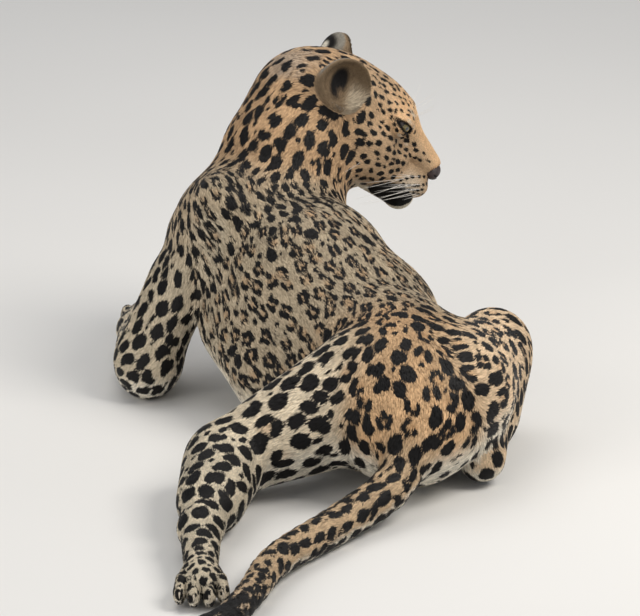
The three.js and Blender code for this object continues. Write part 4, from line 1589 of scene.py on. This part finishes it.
def build_whiskers():
    """Rows of whiskers on the lips, and a few stiff hairs over each eye and on the cheek."""
    rng = np.random.default_rng(21)
    longest = sizes().whisker / MM
    tubes = []
    for s in (1, -1):
        hairs = []
        for row, places in enumerate(WHISKER_ROWS):
            for k, place in enumerate(places):
                way = v(-0.85 - 0.05 * k, 0.5, -0.42 + 0.12 * row) + rng.normal(0, 0.07, 3)
                hairs.append((place, way, longest * rng.uniform(0.45, 1.0) * (1.05 - 0.08 * k), 0.34))
        for k in range(4):
            way = v(0.35, 0.5, 0.75) + rng.normal(0, 0.12, 3)
            hairs.append(((24 + 4 * k, 27 - 3 * k, 56), way, longest * rng.uniform(0.5, 0.7), 0.2))
        for k in range(2):
            hairs.append(((-4 - 9 * k, 62, -14 - 6 * k), v(-0.55, 0.6, -0.5), longest * 0.5, 0.22))
        for (x, y, z), way, length, r in hairs:
            root = settle(skin_depth, in_head(x, s * y, z)[None], 6)[0]
            out = slope(skin_depth, root[None])[0]
            way = unit(SKULL.T @ (way * v(1, s, 1)))
            t = np.linspace(0, 1, 9)[:, None]
            droop = (DOWN * 0.10 + SKULL[0] * -0.22) * length
            path = root - out * 1.2 + unit(way + out * 0.5) * t * length + droop * t ** 2
            tubes.append((path, r))
    horn = mottled_material("whisker", 60, (0.86, 0.83, 0.78, 1), (0.7, 0.66, 0.6, 1), 0.35)
    return dress(add_tubes("whiskers", tubes, 4), "coat", horn)


def build_claws():
    """The tips of sixteen hooked claws, mostly sheathed in the toes."""
    shown = sizes().claw / MM
    t = np.linspace(0, 1, 7)
    tubes = []
    for tip, way in CLAW_TIPS:
        path = tip + way.T @ v(-6, 0, 4) + np.outer(t * (shown + 5), way[0]) - np.outer(t ** 2 * 5.0, way[2])
        tubes.append((path, 1.7))
    horn = mottled_material("claw", 500, (0.30, 0.24, 0.18, 1), (0.55, 0.48, 0.38, 1), 0.3)
    return dress(add_tubes("claws", tubes, 6), "coat", horn)


# Floor, light and camera


LIGHTS = {
    "key": ((-1.7, 0.5, 2.3), 52, 1.3, (1.0, 0.96, 0.9)),
    "fill": ((2.2, 2.4, 1.3), 38, 2.0, (1.0, 0.97, 0.92)),
    "top": ((0.4, -0.9, 2.6), 20, 1.8, (1.0, 0.97, 0.93)),
}
LIT_PLACE = Vector((0, -0.1, 0.12))
SEEN_PLACE = Vector((0.0125, -0.1089, 0.1473))
CAMERA_RISE = math.radians(18)
CAMERA_AWAY = 10
LENS, SENSOR = 450, 36


def aim(data, place, way):
    """An object at a place in the scene that looks along a direction."""
    ob = bpy.data.objects.new(data.name, data)
    ob.location = place
    ob.rotation_mode = "QUATERNION"
    ob.rotation_quaternion = way.to_track_quat("-Z", "Y")
    bpy.context.scene.collection.objects.link(ob)
    return ob


def build_stage():
    bpy.ops.mesh.primitive_plane_add(size=14, location=(0, 0, 0))
    floor = bpy.context.object
    floor.name = "floor"
    mat, w, shader = new_material("floor")
    w.link(w.mix(w.noise(1.2), (0.72, 0.71, 0.69, 1), (0.78, 0.77, 0.75, 1)), shader.inputs["Base Color"])
    shader.inputs["Roughness"].default_value = 0.9
    floor.data.materials.append(mat)
    world = bpy.data.worlds.new("studio")
    bpy.context.scene.world = world
    world.use_nodes = True
    world.node_tree.nodes["Background"].inputs[0].default_value = (0.92, 0.95, 1.0, 1)
    world.node_tree.nodes["Background"].inputs[1].default_value = 0.42
    for name, (place, energy, size, colour) in LIGHTS.items():
        light = bpy.data.lights.new(name, "AREA")
        light.energy, light.size, light.color = energy, size, colour
        aim(light, place, LIT_PLACE - Vector(place))
    camera = bpy.data.cameras.new("camera")
    camera.lens, camera.sensor_width = LENS, SENSOR
    camera.clip_start, camera.clip_end = 0.5, 40
    back = Vector((0, math.cos(CAMERA_RISE), math.sin(CAMERA_RISE)))
    bpy.context.scene.camera = aim(camera, SEEN_PLACE + back * CAMERA_AWAY, -back)
    bpy.context.scene.view_settings.view_transform = "Standard"


# Operators and panel


class Step:
    """What every button of the panel does: one step of the work."""

    def execute(self, context):
        self.work()
        return {"FINISHED"}


class LEOPARD_OT_skin(Step, bpy.types.Operator):
    """Wrap the flesh in one skin and paint the marks on it"""
    bl_idname = "leopard.skin"
    bl_label = "Skin"
    work = staticmethod(build_skin)


class LEOPARD_OT_coat(Step, bpy.types.Operator):
    """Grow the coat in tufts over the skin, part by part"""
    bl_idname = "leopard.coat"
    bl_label = "Coat"
    work = staticmethod(build_coat)


class LEOPARD_OT_eyes(Step, bpy.types.Operator):
    """Set both eyes behind their lids"""
    bl_idname = "leopard.eyes"
    bl_label = "Eyes"
    work = staticmethod(build_eyes)


class LEOPARD_OT_nose(Step, bpy.types.Operator):
    """Shape the leather of the nose with its nostrils"""
    bl_idname = "leopard.nose"
    bl_label = "Nose"
    work = staticmethod(build_nose)


class LEOPARD_OT_whiskers(Step, bpy.types.Operator):
    """Add the whiskers and the stiff hairs of the brow and cheek"""
    bl_idname = "leopard.whiskers"
    bl_label = "Whiskers"
    work = staticmethod(build_whiskers)


class LEOPARD_OT_claws(Step, bpy.types.Operator):
    """Add the tips of the claws"""
    bl_idname = "leopard.claws"
    bl_label = "Claws"
    work = staticmethod(build_claws)


class LEOPARD_OT_stage(Step, bpy.types.Operator):
    """Lay a pale floor and set soft lights and the camera"""
    bl_idname = "leopard.stage"
    bl_label = "Stage"
    work = staticmethod(build_stage)


STEPS = [LEOPARD_OT_stage, LEOPARD_OT_skin, LEOPARD_OT_eyes, LEOPARD_OT_nose, LEOPARD_OT_coat,
         LEOPARD_OT_whiskers, LEOPARD_OT_claws]


class LEOPARD_PT_panel(bpy.types.Panel):
    """Sizes, colours and steps of the leopard"""
    bl_idname = "LEOPARD_PT_panel"
    bl_label = "Leopard"
    bl_space_type = "VIEW_3D"
    bl_region_type = "UI"
    bl_category = "Leopard"

    def draw(self, context):
        for settings in (context.scene.leopard_sizes, context.scene.leopard_colours):
            for name in type(settings).__annotations__:
                self.layout.prop(settings, name)
        for step in STEPS:
            self.layout.operator(step.bl_idname)


CLASSES = [LeopardSizes, LeopardColours, *STEPS, LEOPARD_PT_panel]


def register():
    for cls in CLASSES:
        bpy.utils.register_class(cls)
    bpy.types.Scene.leopard_sizes = bpy.props.PointerProperty(type=LeopardSizes)
    bpy.types.Scene.leopard_colours = bpy.props.PointerProperty(type=LeopardColours)


def unregister():
    del bpy.types.Scene.leopard_sizes
    del bpy.types.Scene.leopard_colours
    for cls in reversed(CLASSES):
        bpy.utils.unregister_class(cls)


def main():
    register()
    for step in STEPS:
        family, name = step.bl_idname.split(".")
        getattr(getattr(bpy.ops, family), name)()


if __name__ == "__main__":
    main()
